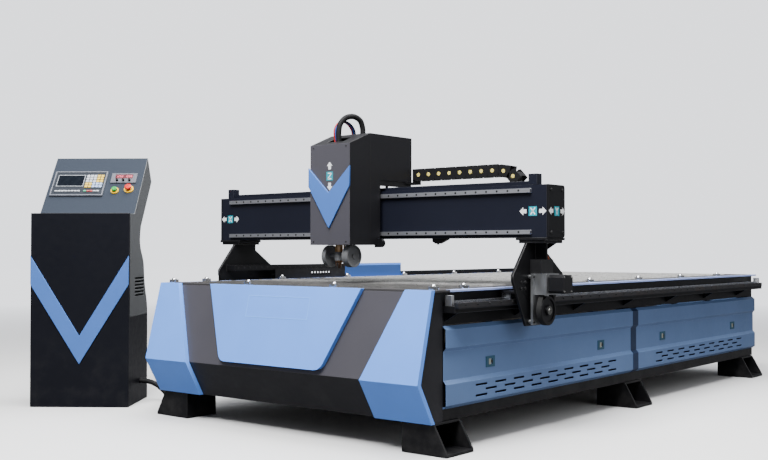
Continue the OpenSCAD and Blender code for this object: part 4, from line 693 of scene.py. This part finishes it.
class PLASMA_OT_console(bpy.types.Operator):
    """Finish the controller, meter, buttons and latches"""

    bl_idname = "plasma.console"
    bl_label = "Finish the controls"

    def execute(self, context):
        dark = shade(tuple(context.scene.plasma_paint.console), 0.6)
        keys = []
        for x0, up0, x1, up1, colour in KEY_COLOURS:
            low, high = (UNIT[0] + x0, UNIT[1] + up0, KEY_LIFT[0]), (UNIT[0] + x1, UNIT[1] + up1, KEY_LIFT[1])
            keys.append((low, high, colour, CONSOLE_DATUM))
        locks = []
        z0, z1 = LATCH_Z - LATCH_HALF[1], LATCH_Z + LATCH_HALF[1]
        for y in LATCH_PLACES:
            for y0, y1, colour in ((y - LATCH_HALF[0], y, LATCH_CREAM), (y, y + LATCH_HALF[0], LATCH_BLACK)):
                locks.append(((-LATCH_REACH, y0, z0), (LATCH_REACH, y1, z1), colour))
        face = [(*UNIT_FACE, dark, CONSOLE_DATUM)]
        dress("controller", moulded("unit_grey", (0.16, 0.17, 0.20), 0.5, recoats=face), HOUSING_EDGE)
        dress("height_meter", moulded("meter_grey", (0.12, 0.125, 0.15), 0.5), HOUSING_EDGE)
        dress("controller_screen", dark_screen("screen_glass"))
        dress("controller_keys", moulded("key_white", (0.52, 0.54, 0.58), 0.5, recoats=keys), KEY_EDGE)
        dress("button_collars", moulded("collar_yellow", (0.80, 0.48, 0.02), 0.3, coat=0.3))
        dress("start_button", moulded("button_green", (0.02, 0.36, 0.07), 0.25, coat=0.4))
        dress("emergency_stop", moulded("button_red", (0.62, 0.02, 0.015), 0.25, coat=0.4))
        dress("meter_knob_1 meter_knob_2 meter_knob_3", moulded("knob_black", (0.012, 0.012, 0.013), 0.35))
        teal = moulded("latch_teal", (0.02, 0.085, 0.14), 0.4, coat=0.2, recoats=locks)
        dress("panel_latches", teal, KEY_EDGE)
        return {"FINISHED"}


# Fasteners

# Socket-head screw as shares of its radius and height, with the socket sunk into the head
SCREW_PROFILE = [(0.0, 0.0), (1.0, 0.0), (1.0, 0.82), (0.88, 1.0), (0.52, 1.0), (0.46, 0.35), (0.0, 0.35)]
# Where the screws of the cross rails, side rails and racks start and end, and the pitch along the racks
CROSS_SPAN, SIDE_SPAN, RACK_SPAN = (-960, 961), (180, 3790), (150, 3760)
RACK_PITCH = 94.25
# Screws on each end of the gantry: what they hold, places along x, y and z, and the head's radius and height
GANTRY_SCREWS = (
    ("cap", 1112, [640, 744], [965, 1163], 7, 5),
    ("plate", 1027, [624, 760], [549, 759], 6, 5),
    ("motor", 1170, [658, 724], [692, 758], 3.5, 2),
    ("leg", 1000, [560, 590, 794, 824], [705, 735], 7, 6),
)


def screws(name, x, y, z, direction, radius, height, body, material):
    """Turned screw heads at every combination of the given coordinates, in the bed's millimetres."""
    points = np.stack(np.meshgrid(x, y, z, indexing="ij"), -1).reshape(-1, 3)
    vertices, faces = turned(np.array(SCREW_PROFILE) * (radius, height) * MM, columns=8)
    add_piece(name, *copies(vertices, faces, bed(points), direction), [material], body)


class PLASMA_OT_fasteners(bpy.types.Operator):
    """Add the screws of rails, racks, caps and drives"""

    bl_idname = "plasma.fasteners"
    bl_label = "Add fasteners"

    def execute(self, context):
        pitch = context.scene.plasma_sizes.rail_bolt_pitch / MM
        dark = moulded("screw_black", (0.02, 0.02, 0.021), 0.35)
        bright = cast_bright("screw_zinc", (0.62, 0.62, 0.60), 0.3)
        cross, along = np.arange(*CROSS_SPAN, pitch), np.arange(*SIDE_SPAN, pitch)
        racks = np.arange(*RACK_SPAN, RACK_PITCH)
        screws("cross_rail_screws", cross, [599.9], [967, 1161], FRONT, 5.6, 0.25, "gantry", dark)
        screws("side_rail_screws", [-914, 914], along, [661.8], UP, 4.6, 0.4, "bed", dark)
        for word, side in SIDES:
            out = (side, 0, 0)
            screws(word + "_rack_screws", [side * 972], racks, [646], out, 5, 4, "bed", dark)
            for kind, x, y, z, radius, height in GANTRY_SCREWS:
                name = word + "_" + kind + "_screws"
                metal = bright if kind == "motor" else dark
                screws(name, [side * x], y, z, out, radius, height, "gantry", metal)
        screws("head_plate_screws", [-110, 110], [348], [925, 1405], FRONT, 4, 2.2, "head", dark)
        feet = ([-840, -760, 760, 840], [128, 1945, 3704], [14])
        screws("foot_anchors", *feet, UP, 13, 16, "bed", bright)
        return {"FINISHED"}


# Console trim

# Screen on the controller: left, right, lower and upper edges, and the bezel's width and heights
SCREEN = (UNIT[0] + 24, UNIT[0] + 186, UNIT[1] + 72, UNIT[1] + 164)
BEZEL_WIDTH = 4
BEZEL_LIFT = (9.8, 13.6)
# Meter: its middle and lower edge on the console, its window, and where each reading starts with its digits
METER_X, METER_UP = 163, CONSOLE_LENGTH * 0.534
METER_WINDOW = ((METER_X - 52, METER_UP + 34, 7.8), (METER_X + 52, METER_UP + 66, 8.6))
READINGS = ((METER_X - 46, (1, 2, 5, 0)), (METER_X + 6, (1, 2, 0, 0)))
DIGIT_UP, DIGIT_STEP, DIGIT_BAR, DIGIT_LIFT = METER_UP + 44, 11, 1.6, 0.3
# Seven bars of a digit by their ends, and which of them each number lights
SEGMENTS = [((0, 0), (6, 0)), ((0, 6), (6, 6)), ((0, 12), (6, 12)), ((0, 0), (0, 6)), ((0, 6), (0, 12)),
            ((6, 0), (6, 6)), ((6, 6), (6, 12))]
DIGITS = {0: (0, 2, 3, 4, 5, 6), 1: (5, 6), 2: (0, 1, 2, 3, 6), 5: (0, 1, 2, 4, 5)}


def digit(number, x, up, lift):
    """Seven-segment digit on the console, as flat bars: four corners for each bar."""
    bars = [stroke(*SEGMENTS[i], DIGIT_BAR) for i in DIGITS[number]]
    return [[(x + q[0], up + q[1], lift) for q in bar] for bar in bars]


class PLASMA_OT_trim(bpy.types.Operator):
    """Add the screen's bezel and the meter's display"""

    bl_idname = "plasma.trim"
    bl_label = "Add console trim"

    def execute(self, context):
        bezel = plain_paint("bezel_silver", (0.30, 0.32, 0.35), 0.35)
        window = plain_paint("meter_window", (0.10, 0.012, 0.02), 0.25)
        lit = glowing("meter_digits", (0.95, 0.16, 0.24), strength=1.6)
        x0, x1, u0, u1 = SCREEN
        w = BEZEL_WIDTH
        bars = [((x0, u0), (x1, u0 + w)), ((x0, u1 - w), (x1, u1)), ((x0, u0 + w), (x0 + w, u1 - w)),
                ((x1 - w, u0 + w), (x1, u1 - w))]
        parts = [block((*a, BEZEL_LIFT[0]), (*b, BEZEL_LIFT[1])) for a, b in bars]
        add_group("screen_bezel", parts, [bezel], "bed", console)
        parts = [block(*METER_WINDOW)]
        for start, numbers in READINGS:
            for i, number in enumerate(numbers):
                bars = digit(number, start + DIGIT_STEP * i, DIGIT_UP, METER_WINDOW[1][2])
                parts += [(*slab(bar, UP, 0, DIGIT_LIFT), 1) for bar in bars]
        add_group("meter_display", parts, [window, lit], "bed", console)
        return {"FINISHED"}


# Seams, switch, hubs and other small details, in the bed's millimetres

SEAMS = [((x, 507, 914), (x + 0.4, 509.5, 1478)) for x in (-134.3, 133.9)]
BRIDGE_SKIRTS = [((x, 580, 1216), (x + 14, 852, 1245.5)) for x in (-132, 118)]
# Rib under each end of the beam, as (x, z), and where it starts and ends along the bed
RIB, RIB_SPAN = [(999, 877), (1061, 915.5), (999, 915.5)], (771, 778)
# Limit switch under the beam, as (x, z), where it starts and ends along the bed, and its stem
SWITCH = [(430, 941), (430, 926), (448, 915), (472, 915), (520, 936), (520, 941)]
SWITCH_SPAN = (640, 664)
SWITCH_STEM = ((452, 650, 910), (464, 654, 915))
HUB_PROFILE = [(0, 1.5), (6, 1.5), (6, 4), (12, 4), (13, 1), (19, 1), (20, 0), (20, -3), (0, -3)]
# Chain fence: its start, first slot and end, each slot and the web after it, its heights and its two faces
FENCE_START, FENCE_SLOTS, FENCE_END = 864, 1180, 1493.5
FENCE_STEPS = [14, 12] * 7
FENCE_HEIGHTS = (703.8, 728, 750, 770)
FENCE_FACES = (-908, -904.5)
# Gas tubes beside the torch as (radius, height), each one's place and share of the radius, and the sensor
GAS_TUBE = [(0, 800), (3, 800), (4.5, 812), (4.5, 838), (8, 838), (8, 866), (4.5, 866), (4.5, 911), (0, 911)]
GAS_TUBES = ((28, 1.0), (-27, 0.8))
GAS_TUBE_Y = 428
SENSOR = ((38, 419, 862), (52, 437, 910))
# Name plate's outline across and up the fascia, the fascia's run and rise, and the line's width and heights
PLATE_CORNERS = [(-205, -156), (205, -156), (205, -52), (-205, -52)]
FASCIA_RUN, FASCIA_RISE = 100, 396
PLATE_LINE, PLATE_LIFT = 4, (-0.5, 0.7)
# Outer line of the side panels as (x, z), where the strip over their joint starts and ends, and its faces
PANEL_LINE = [(881, 552), (900, 536), (900, 456.1), (886, 440.1),
              (886, 314), (900, 298), (900, 206), (881, 190)]
PANEL_JOINT = (1914, 1981)
JOINT_OUT, JOINT_IN = 1.2, 0.3
# Baffles behind the vents: where they start and end along the bed
BAFFLE_SPANS = ((270, 1775), (2150, 3655))
BAFFLES = [((side * 868, y0, 206), (side * 870, y1, 296)) for side in (-1, 1) for y0, y1 in BAFFLE_SPANS]


class PLASMA_OT_details(bpy.types.Operator):
    """Add seams, skirts, ribs, switch, hubs, fence, fittings, blank name plate, joint strips and baffles"""

    bl_idname = "plasma.details"
    bl_label = "Add small details"

    def execute(self, context):
        colours, sizes = context.scene.plasma_paint, context.scene.plasma_sizes
        seam = plain_paint("seam_shadow", (0.002, 0.002, 0.002), 0.6)
        black = moulded("switch_black", (0.01, 0.01, 0.011), 0.4)
        bright = cast_bright("hub_steel", (0.20, 0.20, 0.19), 0.4)
        brass = heat_stained("fitting_brass", (0.66, 0.42, 0.14))
        pale = moulded("sensor_white", (0.55, 0.54, 0.50), 0.5)
        plate = plain_paint("name_plate", shade(tuple(colours.blue), 1.25), 0.3)
        joint = powder_coat("joint_blue", (0.012, 0.028, 0.075), sizes.peel, 0.45, dust=0.12)
        baffle = plain_paint("baffle_black", (0.004, 0.004, 0.005), 0.7)

        add_group("head_seams", [block(*box) for box in SEAMS], [seam], "head")
        add_group("bridge_skirts", [block(*box) for box in BRIDGE_SKIRTS], [black], "head")
        ribs = [prism(np.array(RIB) * (side, 1), *RIB_SPAN) for side in (-1, 1)]
        add_group("leg_ribs", ribs, [black], "gantry")
        switch = [prism(SWITCH, *SWITCH_SPAN), (*block(*SWITCH_STEM), 1)]
        add_group("limit_switch", switch, [black, bright], "gantry")
        for word, side in SIDES:
            low, high = [np.array(c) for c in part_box(word + "_pinion_drive")]
            middle = (low + high) / 2
            middle[0] = high[0] if side > 0 else low[0]
            vertices, faces = turned(np.array(HUB_PROFILE) * MM, columns=24)
            hub = copies(vertices, faces, [middle], (side, 0, 0))
            add_piece(word + "_hub", *hub, [bright], word + "_drive")

        slots = FENCE_SLOTS + np.cumsum(FENCE_STEPS)
        edges = np.concatenate([[FENCE_START, FENCE_SLOTS], slots, [FENCE_END]])
        solid = np.ones((len(FENCE_HEIGHTS) - 1, len(edges) - 1), bool)
        solid[1, 1:-1:2] = False
        add_group("chain_fence", [pierced_plate(edges, FENCE_HEIGHTS, solid, *FENCE_FACES)], [black], "bed")

        fittings = []
        for x, share in GAS_TUBES:
            vertices, faces = turned(np.array(GAS_TUBE) * (share, 1), columns=12)
            fittings.append((vertices + (x, GAS_TUBE_Y, 0), faces))
        fittings.append((*block(*SENSOR), 1))
        add_group("torch_fittings", fittings, [brass, pale], "torch_carrier")

        rise = np.array([0, FASCIA_RUN, FASCIA_RISE]) / np.hypot(FASCIA_RUN, FASCIA_RISE)
        out = np.array([0, -rise[2], rise[1]])
        lines = []
        for a, b in zip(PLATE_CORNERS, PLATE_CORNERS[1:] + PLATE_CORNERS[:1]):
            flat = np.array(stroke(a, b, PLATE_LINE))
            bar = flat[:, :1] * (1, 0, 0) + flat[:, 1:] * rise + (0, 0, BED_TOP)
            lines.append(slab(bar, out, *PLATE_LIFT))
        add_group("name_plate", lines, [plate], "bed")

        line = np.array(PANEL_LINE)
        strip = np.concatenate([line + (JOINT_OUT, 0), line[::-1] - (JOINT_IN, 0)])
        strips = [prism(strip * (side, 1), *PANEL_JOINT) for side in (-1, 1)]
        add_group("panel_joints", strips, [joint], "bed")
        add_group("vent_baffles", [block(*box) for box in BAFFLES], [baffle], "bed")
        return {"FINISHED"}


# Axis labels

LABEL_GROUND = [(-22, -22), (22, -22), (22, 22), (-22, 22)]
LABEL_STROKE = 6
LABEL_BACK, LABEL_FILM, LABEL_PRINT = 0.05, 0.25, 0.4
ARROW = ([(34, -9), (52, -9), (52, 9), (34, 9)], [(52, -19), (72, 0), (52, 19)])
LETTERS = {
    "X": [((-12, -16), (12, 16)), ((-12, 16), (12, -16))],
    "Y": [((-12, 16), (0, 1)), ((12, 16), (0, 1)), ((0, 2), (0, -16))],
    "Z": [((-12, 14), (12, 14)), ((12, 14), (-12, -14)), ((-12, -14), (12, -14))],
}
# Each label: piece, letter, middle, the way across it, body, and the way its arrows point as (across, up)
LABELS = (
    ("label_x_left", "X", (-1030, 617, 1064), (1, 0, 0), "gantry", (1, 0)),
    ("label_x_right", "X", (1028, 617, 1064), (1, 0, 0), "gantry", (1, 0)),
    ("label_y_right", "Y", (1112, 692, 1064), (0, 1, 0), "gantry", (1, 0)),
    ("label_y_left", "Y", (-1112, 692, 1064), (0, -1, 0), "gantry", (1, 0)),
    ("label_z", "Z", (0, 348, 1258), (1, 0, 0), "head", (0, 1)),
)


def axis_label(name, letter, centre, across, body, arrow, materials):
    """Square label with an axis letter and an arrow each way, raised off its face by a film's thickness."""
    axes = np.array([across, UP], float)
    out = np.cross(across, UP)
    c, s = arrow
    marks = [stroke(a, b, LABEL_STROKE) for a, b in LETTERS[letter]]
    for sign in (-1, 1):
        marks += [np.array(shape) @ [(c, s), (-s, c)] * sign for shape in ARROW]
    parts = [slab(np.array(LABEL_GROUND) @ axes + centre, out, LABEL_BACK, LABEL_FILM)]
    parts += [(*slab(np.array(mark) @ axes + centre, out, LABEL_BACK, LABEL_PRINT), 1) for mark in marks]
    add_group(name, parts, materials, body)


class PLASMA_OT_labels(bpy.types.Operator):
    """Add the axis letters with their arrows"""

    bl_idname = "plasma.labels"
    bl_label = "Add axis labels"

    def execute(self, context):
        ground = plain_paint("label_ground", tuple(context.scene.plasma_paint.label))
        ink = plain_paint("label_ink", (0.85, 0.87, 0.88))
        for label in LABELS:
            axis_label(*label, [ground, ink])
        return {"FINISHED"}


# Drag chains

LINK_PLATE, LINK_BAR, LINK_GAP = 5.0, 3, 0.5
# Far ends of the loop's span lie this far each way along the chain
LOOP_REACH = 40000


def link_parts(length, width, height):
    """One chain link along X: two chamfered side plates, two cross bars and a pin head on each side."""
    r = height / 2
    chamfer, end = r * 0.25, length - LINK_GAP
    outline = [(0, r * 0.7), (0, -r * 0.7), (chamfer, -r), (end, -r), (end, r), (chamfer, r)]
    parts = [prism(outline, y, y + LINK_PLATE) for y in (-width / 2, width / 2 - LINK_PLATE)]
    x0, x1 = length * 0.42, length * 0.82
    for z in (-r + 1, r - 1 - LINK_BAR):
        bar = [(x0, z), (x1, z), (x1, z + LINK_BAR), (x0, z + LINK_BAR)]
        parts.append(prism(bar, LINK_PLATE - width / 2, width / 2 - LINK_PLATE))
    profile = [(0, 0), (r * 0.33, 0), (r * 0.33, 1.0), (r * 0.24, 1.6), (0, 1.6)]
    pin, faces = turned(profile, columns=10)
    for side in (-1, 1):
        axes = np.array([[-side, 0, 0], [0, 0, 1], [0, side, 0]], float)
        parts.append((pin @ axes + (r * 0.92, side * width / 2, 0), faces, 1))
    return parts


def chain_places(count, pitch, run, radius, low):
    """Where each link starts and points: along the upper run, round the half turn and back below."""
    s = np.arange(count + 1) * pitch
    turn = np.clip((s - run) / radius, 0, pi)
    past = np.clip(s - run - pi * radius, 0, None)
    x = np.minimum(s, run) + radius * np.sin(turn) - past
    z = low + radius + radius * np.cos(turn)
    points = np.stack([x, z], 1)
    step = np.diff(points, axis=0)
    return points[:-1], step / np.linalg.norm(step, axis=1)[:, None], s[:-1]


def chain_pieces(name, node, origin, forward, still, mover, materials,
                 count, pitch, run, radius, low, width, height):
    """Upper run, loop and lower run of a drag chain as three pieces."""
    link = link_parts(pitch, width, height)
    start, step, s = chain_places(count, pitch, run, radius, low)
    origin, forward = np.array(origin, float), np.array(forward, float)
    plane = np.stack([forward, UP])
    x_axis = step @ plane
    y_axis = np.broadcast_to(np.cross(UP, forward), x_axis.shape)
    frames = np.stack([origin + start @ plane, x_axis, y_axis, np.cross(x_axis, y_axis)], 1)
    loop_at = origin + forward * run
    tail = count * pitch - run - pi * radius
    far = forward * LOOP_REACH
    upper, lower = s < run - pitch / 2, s >= run + pi * radius
    spans = [("upper", upper, mover, still, origin, loop_at + forward * run),
             ("loop", ~upper & ~lower, mover, still, loop_at - far, loop_at + far),
             ("lower", lower, still, mover, loop_at - forward * tail, loop_at + forward * tail)]
    made = []
    for word, chosen, a, b, first, last in spans:
        parts = [(row[0] + points @ row[1:], *rest) for row in frames[chosen] for points, *rest in link]
        piece = add_group(name + "_" + word, parts, materials, None)
        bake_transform(piece)
        made.append(piece)
    for piece in made:
        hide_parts(node)


class PLASMA_OT_chains(bpy.types.Operator):
    """Add the two drag chains, link by link"""

    bl_idname = "plasma.chains"
    bl_label = "Add drag chains"

    def execute(self, context):
        sizes = context.scene.plasma_sizes
        links = moulded("chain_plastic", (0.007, 0.007, 0.008), 0.5)
        pins = moulded("chain_pin", (0.70, 0.58, 0.16), 0.35)
        dark = moulded("chain_pin_black", (0.016, 0.016, 0.017), 0.4)
        chain_pieces("cross_chain", "x_chain", (146, 891, 0), (1, 0, 0), "gantry", "head", [links, pins],
                     count=19, pitch=sizes.cross_links / MM, run=554, radius=100, low=1085,
                     width=62, height=64)
        chain_pieces("side_chain", "y_chain", (-940.5, 557, 0), (0, 1, 0), "bed", "gantry", [links, dark],
                     count=38, pitch=sizes.side_links / MM, run=1480, radius=30, low=720,
                     width=56, height=32)
        return {"FINISHED"}


# Cables

CABLE_SIDES = 14
# Hose and wires from the middle of the head's roof
ROOF = np.array([0, 508, 1482])
HOSE_ROUTE = [(-8, -82, -70), (-8, -82, -30), (-8, -82, 10), (-4, -74, 50), (8, -46, 82), (24, -5, 92),
              (38, 32, 74), (42, 48, 36), (42, 50, 0), (42, 50, -40)]
WIRE_ROUTE = [(-4, -80, -70), (-4, -82, -40), (-4, -87, -10), (-4, -86, 20), (-2, -73, 46), (0, -50, 62),
              (0, -22, 66), (0, 8, 58), (0, 34, 40), (0, 47, 20), (0, 50, 3), (0, 50, -25)]
WIRES = (("wire_black", (0.012, 0.012, 0.013)), ("wire_blue", (0.03, 0.08, 0.35)),
         ("wire_red", (0.45, 0.03, 0.02)))
WIRE_STEP = 10
HOSE_RADIUS, WIRE_RADIUS, LEAD_RADIUS = 15.0, 4.0, 4.5
# Conduit: its ends in the cabinet and the bed, its middle on the floor and how far it is turned there
CONDUIT_START = CABINET_ZERO + np.array([0, 0, 120]) + CABINET_OUT * 276.3 + CABINET_BACK * 250
CONDUIT_MIDDLE = np.array([-1148.0, 315, 15])
CONDUIT_END = np.array([-878.3, 235, 165])
CONDUIT_TURN = radians(14)
CONDUIT_HANDLE, CONDUIT_STUB = 125, 12
# Lead of the right drive and the socket that it goes into; the left ones are their mirror
LEAD_ROUTE = [(1014, 745, 922), (1014, 746, 906), (1012, 756, 885), (1009, 774, 862), (1007, 793, 842),
              (1006, 808, 823), (1006, 816, 804), (1006, 818, 792)]
LEAD_SOCKET = [(998, 807, 772), (1015, 829, 800)]


def add_cable(name, route, radius, material, body, nodes, rings, ripple=0.0):
    """Cable along a route given in the bed's millimetres; ripple is the depth of its corrugations."""
    row = bed(smooth_path(route, rings))
    swell = radius - ripple + ripple * np.cos(np.arange(rings) * pi)
    vertices, faces = tube(row, swell * MM, CABLE_SIDES)
    piece = add_piece(name, vertices, faces, [material], body, smooth=True)
    if nodes:
        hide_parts(nodes)


def conduit_route():
    """Two cubic curves from the cabinet over the floor to the bed, with a straight stub at each end."""
    first, middle, last = CONDUIT_START, CONDUIT_MIDDLE, CONDUIT_END
    out, inward = CABINET_OUT, np.array([1, 0, 0])
    heading = np.array([cos(CONDUIT_TURN), -sin(CONDUIT_TURN), 0]) * CONDUIT_HANDLE
    stub, handle = CONDUIT_STUB, CONDUIT_STUB + CONDUIT_HANDLE
    return np.concatenate([
        [first],
        bezier(first + out * stub, first + out * handle, middle - heading, middle, 8),
        bezier(middle, middle + heading, last - inward * handle, last - inward * stub, 8)[1:],
        [last]])


class PLASMA_OT_cables(bpy.types.Operator):
    """Add the hose and wires over the head, the conduit to the cabinet and the drives' leads"""

    bl_idname = "plasma.cables"
    bl_label = "Add cables"

    def execute(self, context):
        black = moulded("hose_black", (0.005, 0.005, 0.006), 0.65)
        orange = moulded("drive_lead_jacket", (0.36, 0.075, 0.02), 0.4)
        hose = np.array(HOSE_ROUTE) + ROOF
        add_cable("torch_hose", hose, HOSE_RADIUS, black, "head", "head_cables",
                  rings=121, ripple=0.7)
        for i, (name, colour) in enumerate(WIRES):
            wire = np.array(WIRE_ROUTE) + ROOF - (WIRE_STEP * (i + 1), 0, 0)
            jacket = moulded(name + "_jacket", colour, 0.4)
            add_cable(name, wire, WIRE_RADIUS, jacket, "head", "head_cables", rings=61)
        add_cable("bed_conduit", conduit_route(), HOSE_RADIUS, black, "bed", "power_conduit",
                  rings=161, ripple=0.8)
        for word, side in SIDES:
            socket = block(*np.array(LEAD_SOCKET) * (side, 1, 1))
            add_group(word + "_lead_socket", [socket], [black], "gantry")
            lead = np.array(LEAD_ROUTE) * (side, 1, 1)
            add_cable(word + "_drive_lead", lead, LEAD_RADIUS, orange, "gantry", None, rings=41)
        return {"FINISHED"}


# Stage

BACKDROP = (0.93, 0.95, 1.0)
BACKDROP_GLOW, SKY_STRENGTH = 2.0, 0.34
# Floor in metres: half its width, its height, and where it starts and ends fading into the backdrop
FLOOR_HALF, FLOOR_Z = 40.0, -0.0005
FADE_START, FADE_END = 3.5, 12.0
# The floor's two greys as the camera sees them, and its grey for all other light
FLOOR_GREYS = ((0.84, 0.84, 0.84), (0.87, 0.87, 0.87))
FLOOR_SHADE = (0.13, 0.13, 0.135)
FLOOR_ROUGHNESS = 0.85
NO_LIGHT = (0, 0, 0)
# Each light: name, place and aim in the bed's millimetres, width in metres and power in watts
SOFT_BOXES = (
    ("front_softbox", (1500, -3600, 6500), (0, 300, 600), 3.6, 1250),
    ("overhead_softbox", (400, 1500, 5200), (0, 1500, 0), 5.0, 560),
    ("right_softbox", (5600, 1200, 2600), (600, 1400, 500), 3.5, 60),
)
CAMERA_PLACE = (3559.66, -3582.14, 882)
CAMERA_YAW, CAMERA_PITCH = radians(39.19), radians(1.11)
CAMERA_LENS, CAMERA_SENSOR, CAMERA_REACH = 49.02, 36, 200


def stand(name, data, place, look):
    """A light or camera at a place in the bed's millimetres, turned along a direction."""
    item = bpy.data.objects.new(name, data)
    item.location = bed(place)
    item.rotation_euler = Vector(look).to_track_quat("-Z", "Y").to_euler()
    bpy.context.collection.objects.link(item)
    return item


class PLASMA_OT_stage(bpy.types.Operator):
    """Set up the floor, lights and camera"""

    bl_idname = "plasma.stage"
    bl_label = "Set the stage"

    def execute(self, context):
        paint = Paint("studio_floor", Emission_Strength=BACKDROP_GLOW)
        pale = paint.mix(paint.noise(0.4, 2), *FLOOR_GREYS)
        seen = paint.node("ShaderNodeLightPath", {}, {}, "Is Camera Ray")
        across, along = paint.axis("X"), paint.axis("Y")
        far = ((across * across + along * along) ** 0.5).band(FADE_START, FADE_END)
        near = paint.mix(far, pale, NO_LIGHT)
        paint.set("Emission Color", paint.mix(far * seen, NO_LIGHT, BACKDROP))
        floor = paint.surface(paint.mix(seen, FLOOR_SHADE, near), FLOOR_ROUGHNESS)
        t = np.linspace(-FLOOR_HALF, FLOOR_HALF, 3)
        x, y = np.meshgrid(t, t)
        points = np.stack([x.ravel(), y.ravel(), np.full(x.size, FLOOR_Z)], 1)
        add_piece("floor", points, grid_faces(3, 3, False), [floor])

        world = context.scene.world or bpy.data.worlds.new("studio")
        context.scene.world = world
        world.use_nodes = True
        nodes, links = world.node_tree.nodes, world.node_tree.links
        sky = nodes["Background"]
        sky.inputs["Color"].default_value = (*BACKDROP, 1)
        path = nodes.new("ShaderNodeLightPath")
        strength = nodes.new("ShaderNodeMapRange")
        strength.inputs["To Min"].default_value = SKY_STRENGTH
        strength.inputs["To Max"].default_value = BACKDROP_GLOW
        links.new(path.outputs["Is Camera Ray"], strength.inputs["Value"])
        links.new(strength.outputs["Result"], sky.inputs["Strength"])

        for name, place, aim, width, power in SOFT_BOXES:
            light = bpy.data.lights.new(name, "AREA")
            light.shape = "SQUARE"
            light.size = width
            light.energy = power
            stand(name, light, place, bed(aim) - bed(place))
        lens = bpy.data.cameras.new("photo_camera")
        lens.sensor_fit = "HORIZONTAL"
        lens.sensor_width = CAMERA_SENSOR
        lens.lens = CAMERA_LENS
        lens.clip_end = CAMERA_REACH
        level = cos(CAMERA_PITCH)
        look = (-sin(CAMERA_YAW) * level, cos(CAMERA_YAW) * level, sin(CAMERA_PITCH))
        context.scene.camera = stand("photo_camera", lens, CAMERA_PLACE, look)
        return {"FINISHED"}


STEPS = (
    PLASMA_OT_paint, PLASMA_OT_steel, PLASMA_OT_console, PLASMA_OT_fasteners, PLASMA_OT_trim,
    PLASMA_OT_details, PLASMA_OT_labels, PLASMA_OT_chains, PLASMA_OT_cables, PLASMA_OT_stage)


class PLASMA_PT_panel(bpy.types.Panel):
    """Lists the steps and settings"""

    bl_idname = "PLASMA_PT_panel"
    bl_label = "Plasma table"
    bl_space_type = "VIEW_3D"
    bl_region_type = "UI"
    bl_category = "Plasma table"

    def draw(self, context):
        for step in STEPS:
            self.layout.operator(step.bl_idname)
        for group in (context.scene.plasma_paint, context.scene.plasma_sizes):
            for name in group.__annotations__:
                self.layout.prop(group, name)


CLASSES = (PlasmaPaint, PlasmaSizes) + STEPS + (PLASMA_PT_panel,)


def register():
    for item in CLASSES:
        bpy.utils.register_class(item)
    bpy.types.Scene.plasma_paint = bpy.props.PointerProperty(type=PlasmaPaint)
    bpy.types.Scene.plasma_sizes = bpy.props.PointerProperty(type=PlasmaSizes)


def unregister():
    del bpy.types.Scene.plasma_sizes
    del bpy.types.Scene.plasma_paint
    for item in reversed(CLASSES):
        bpy.utils.unregister_class(item)


def main():
    register()
    for step in STEPS:
        group, name = step.bl_idname.split(".")
        getattr(getattr(bpy.ops, group), name)()


if __name__ == "__main__":
    main()
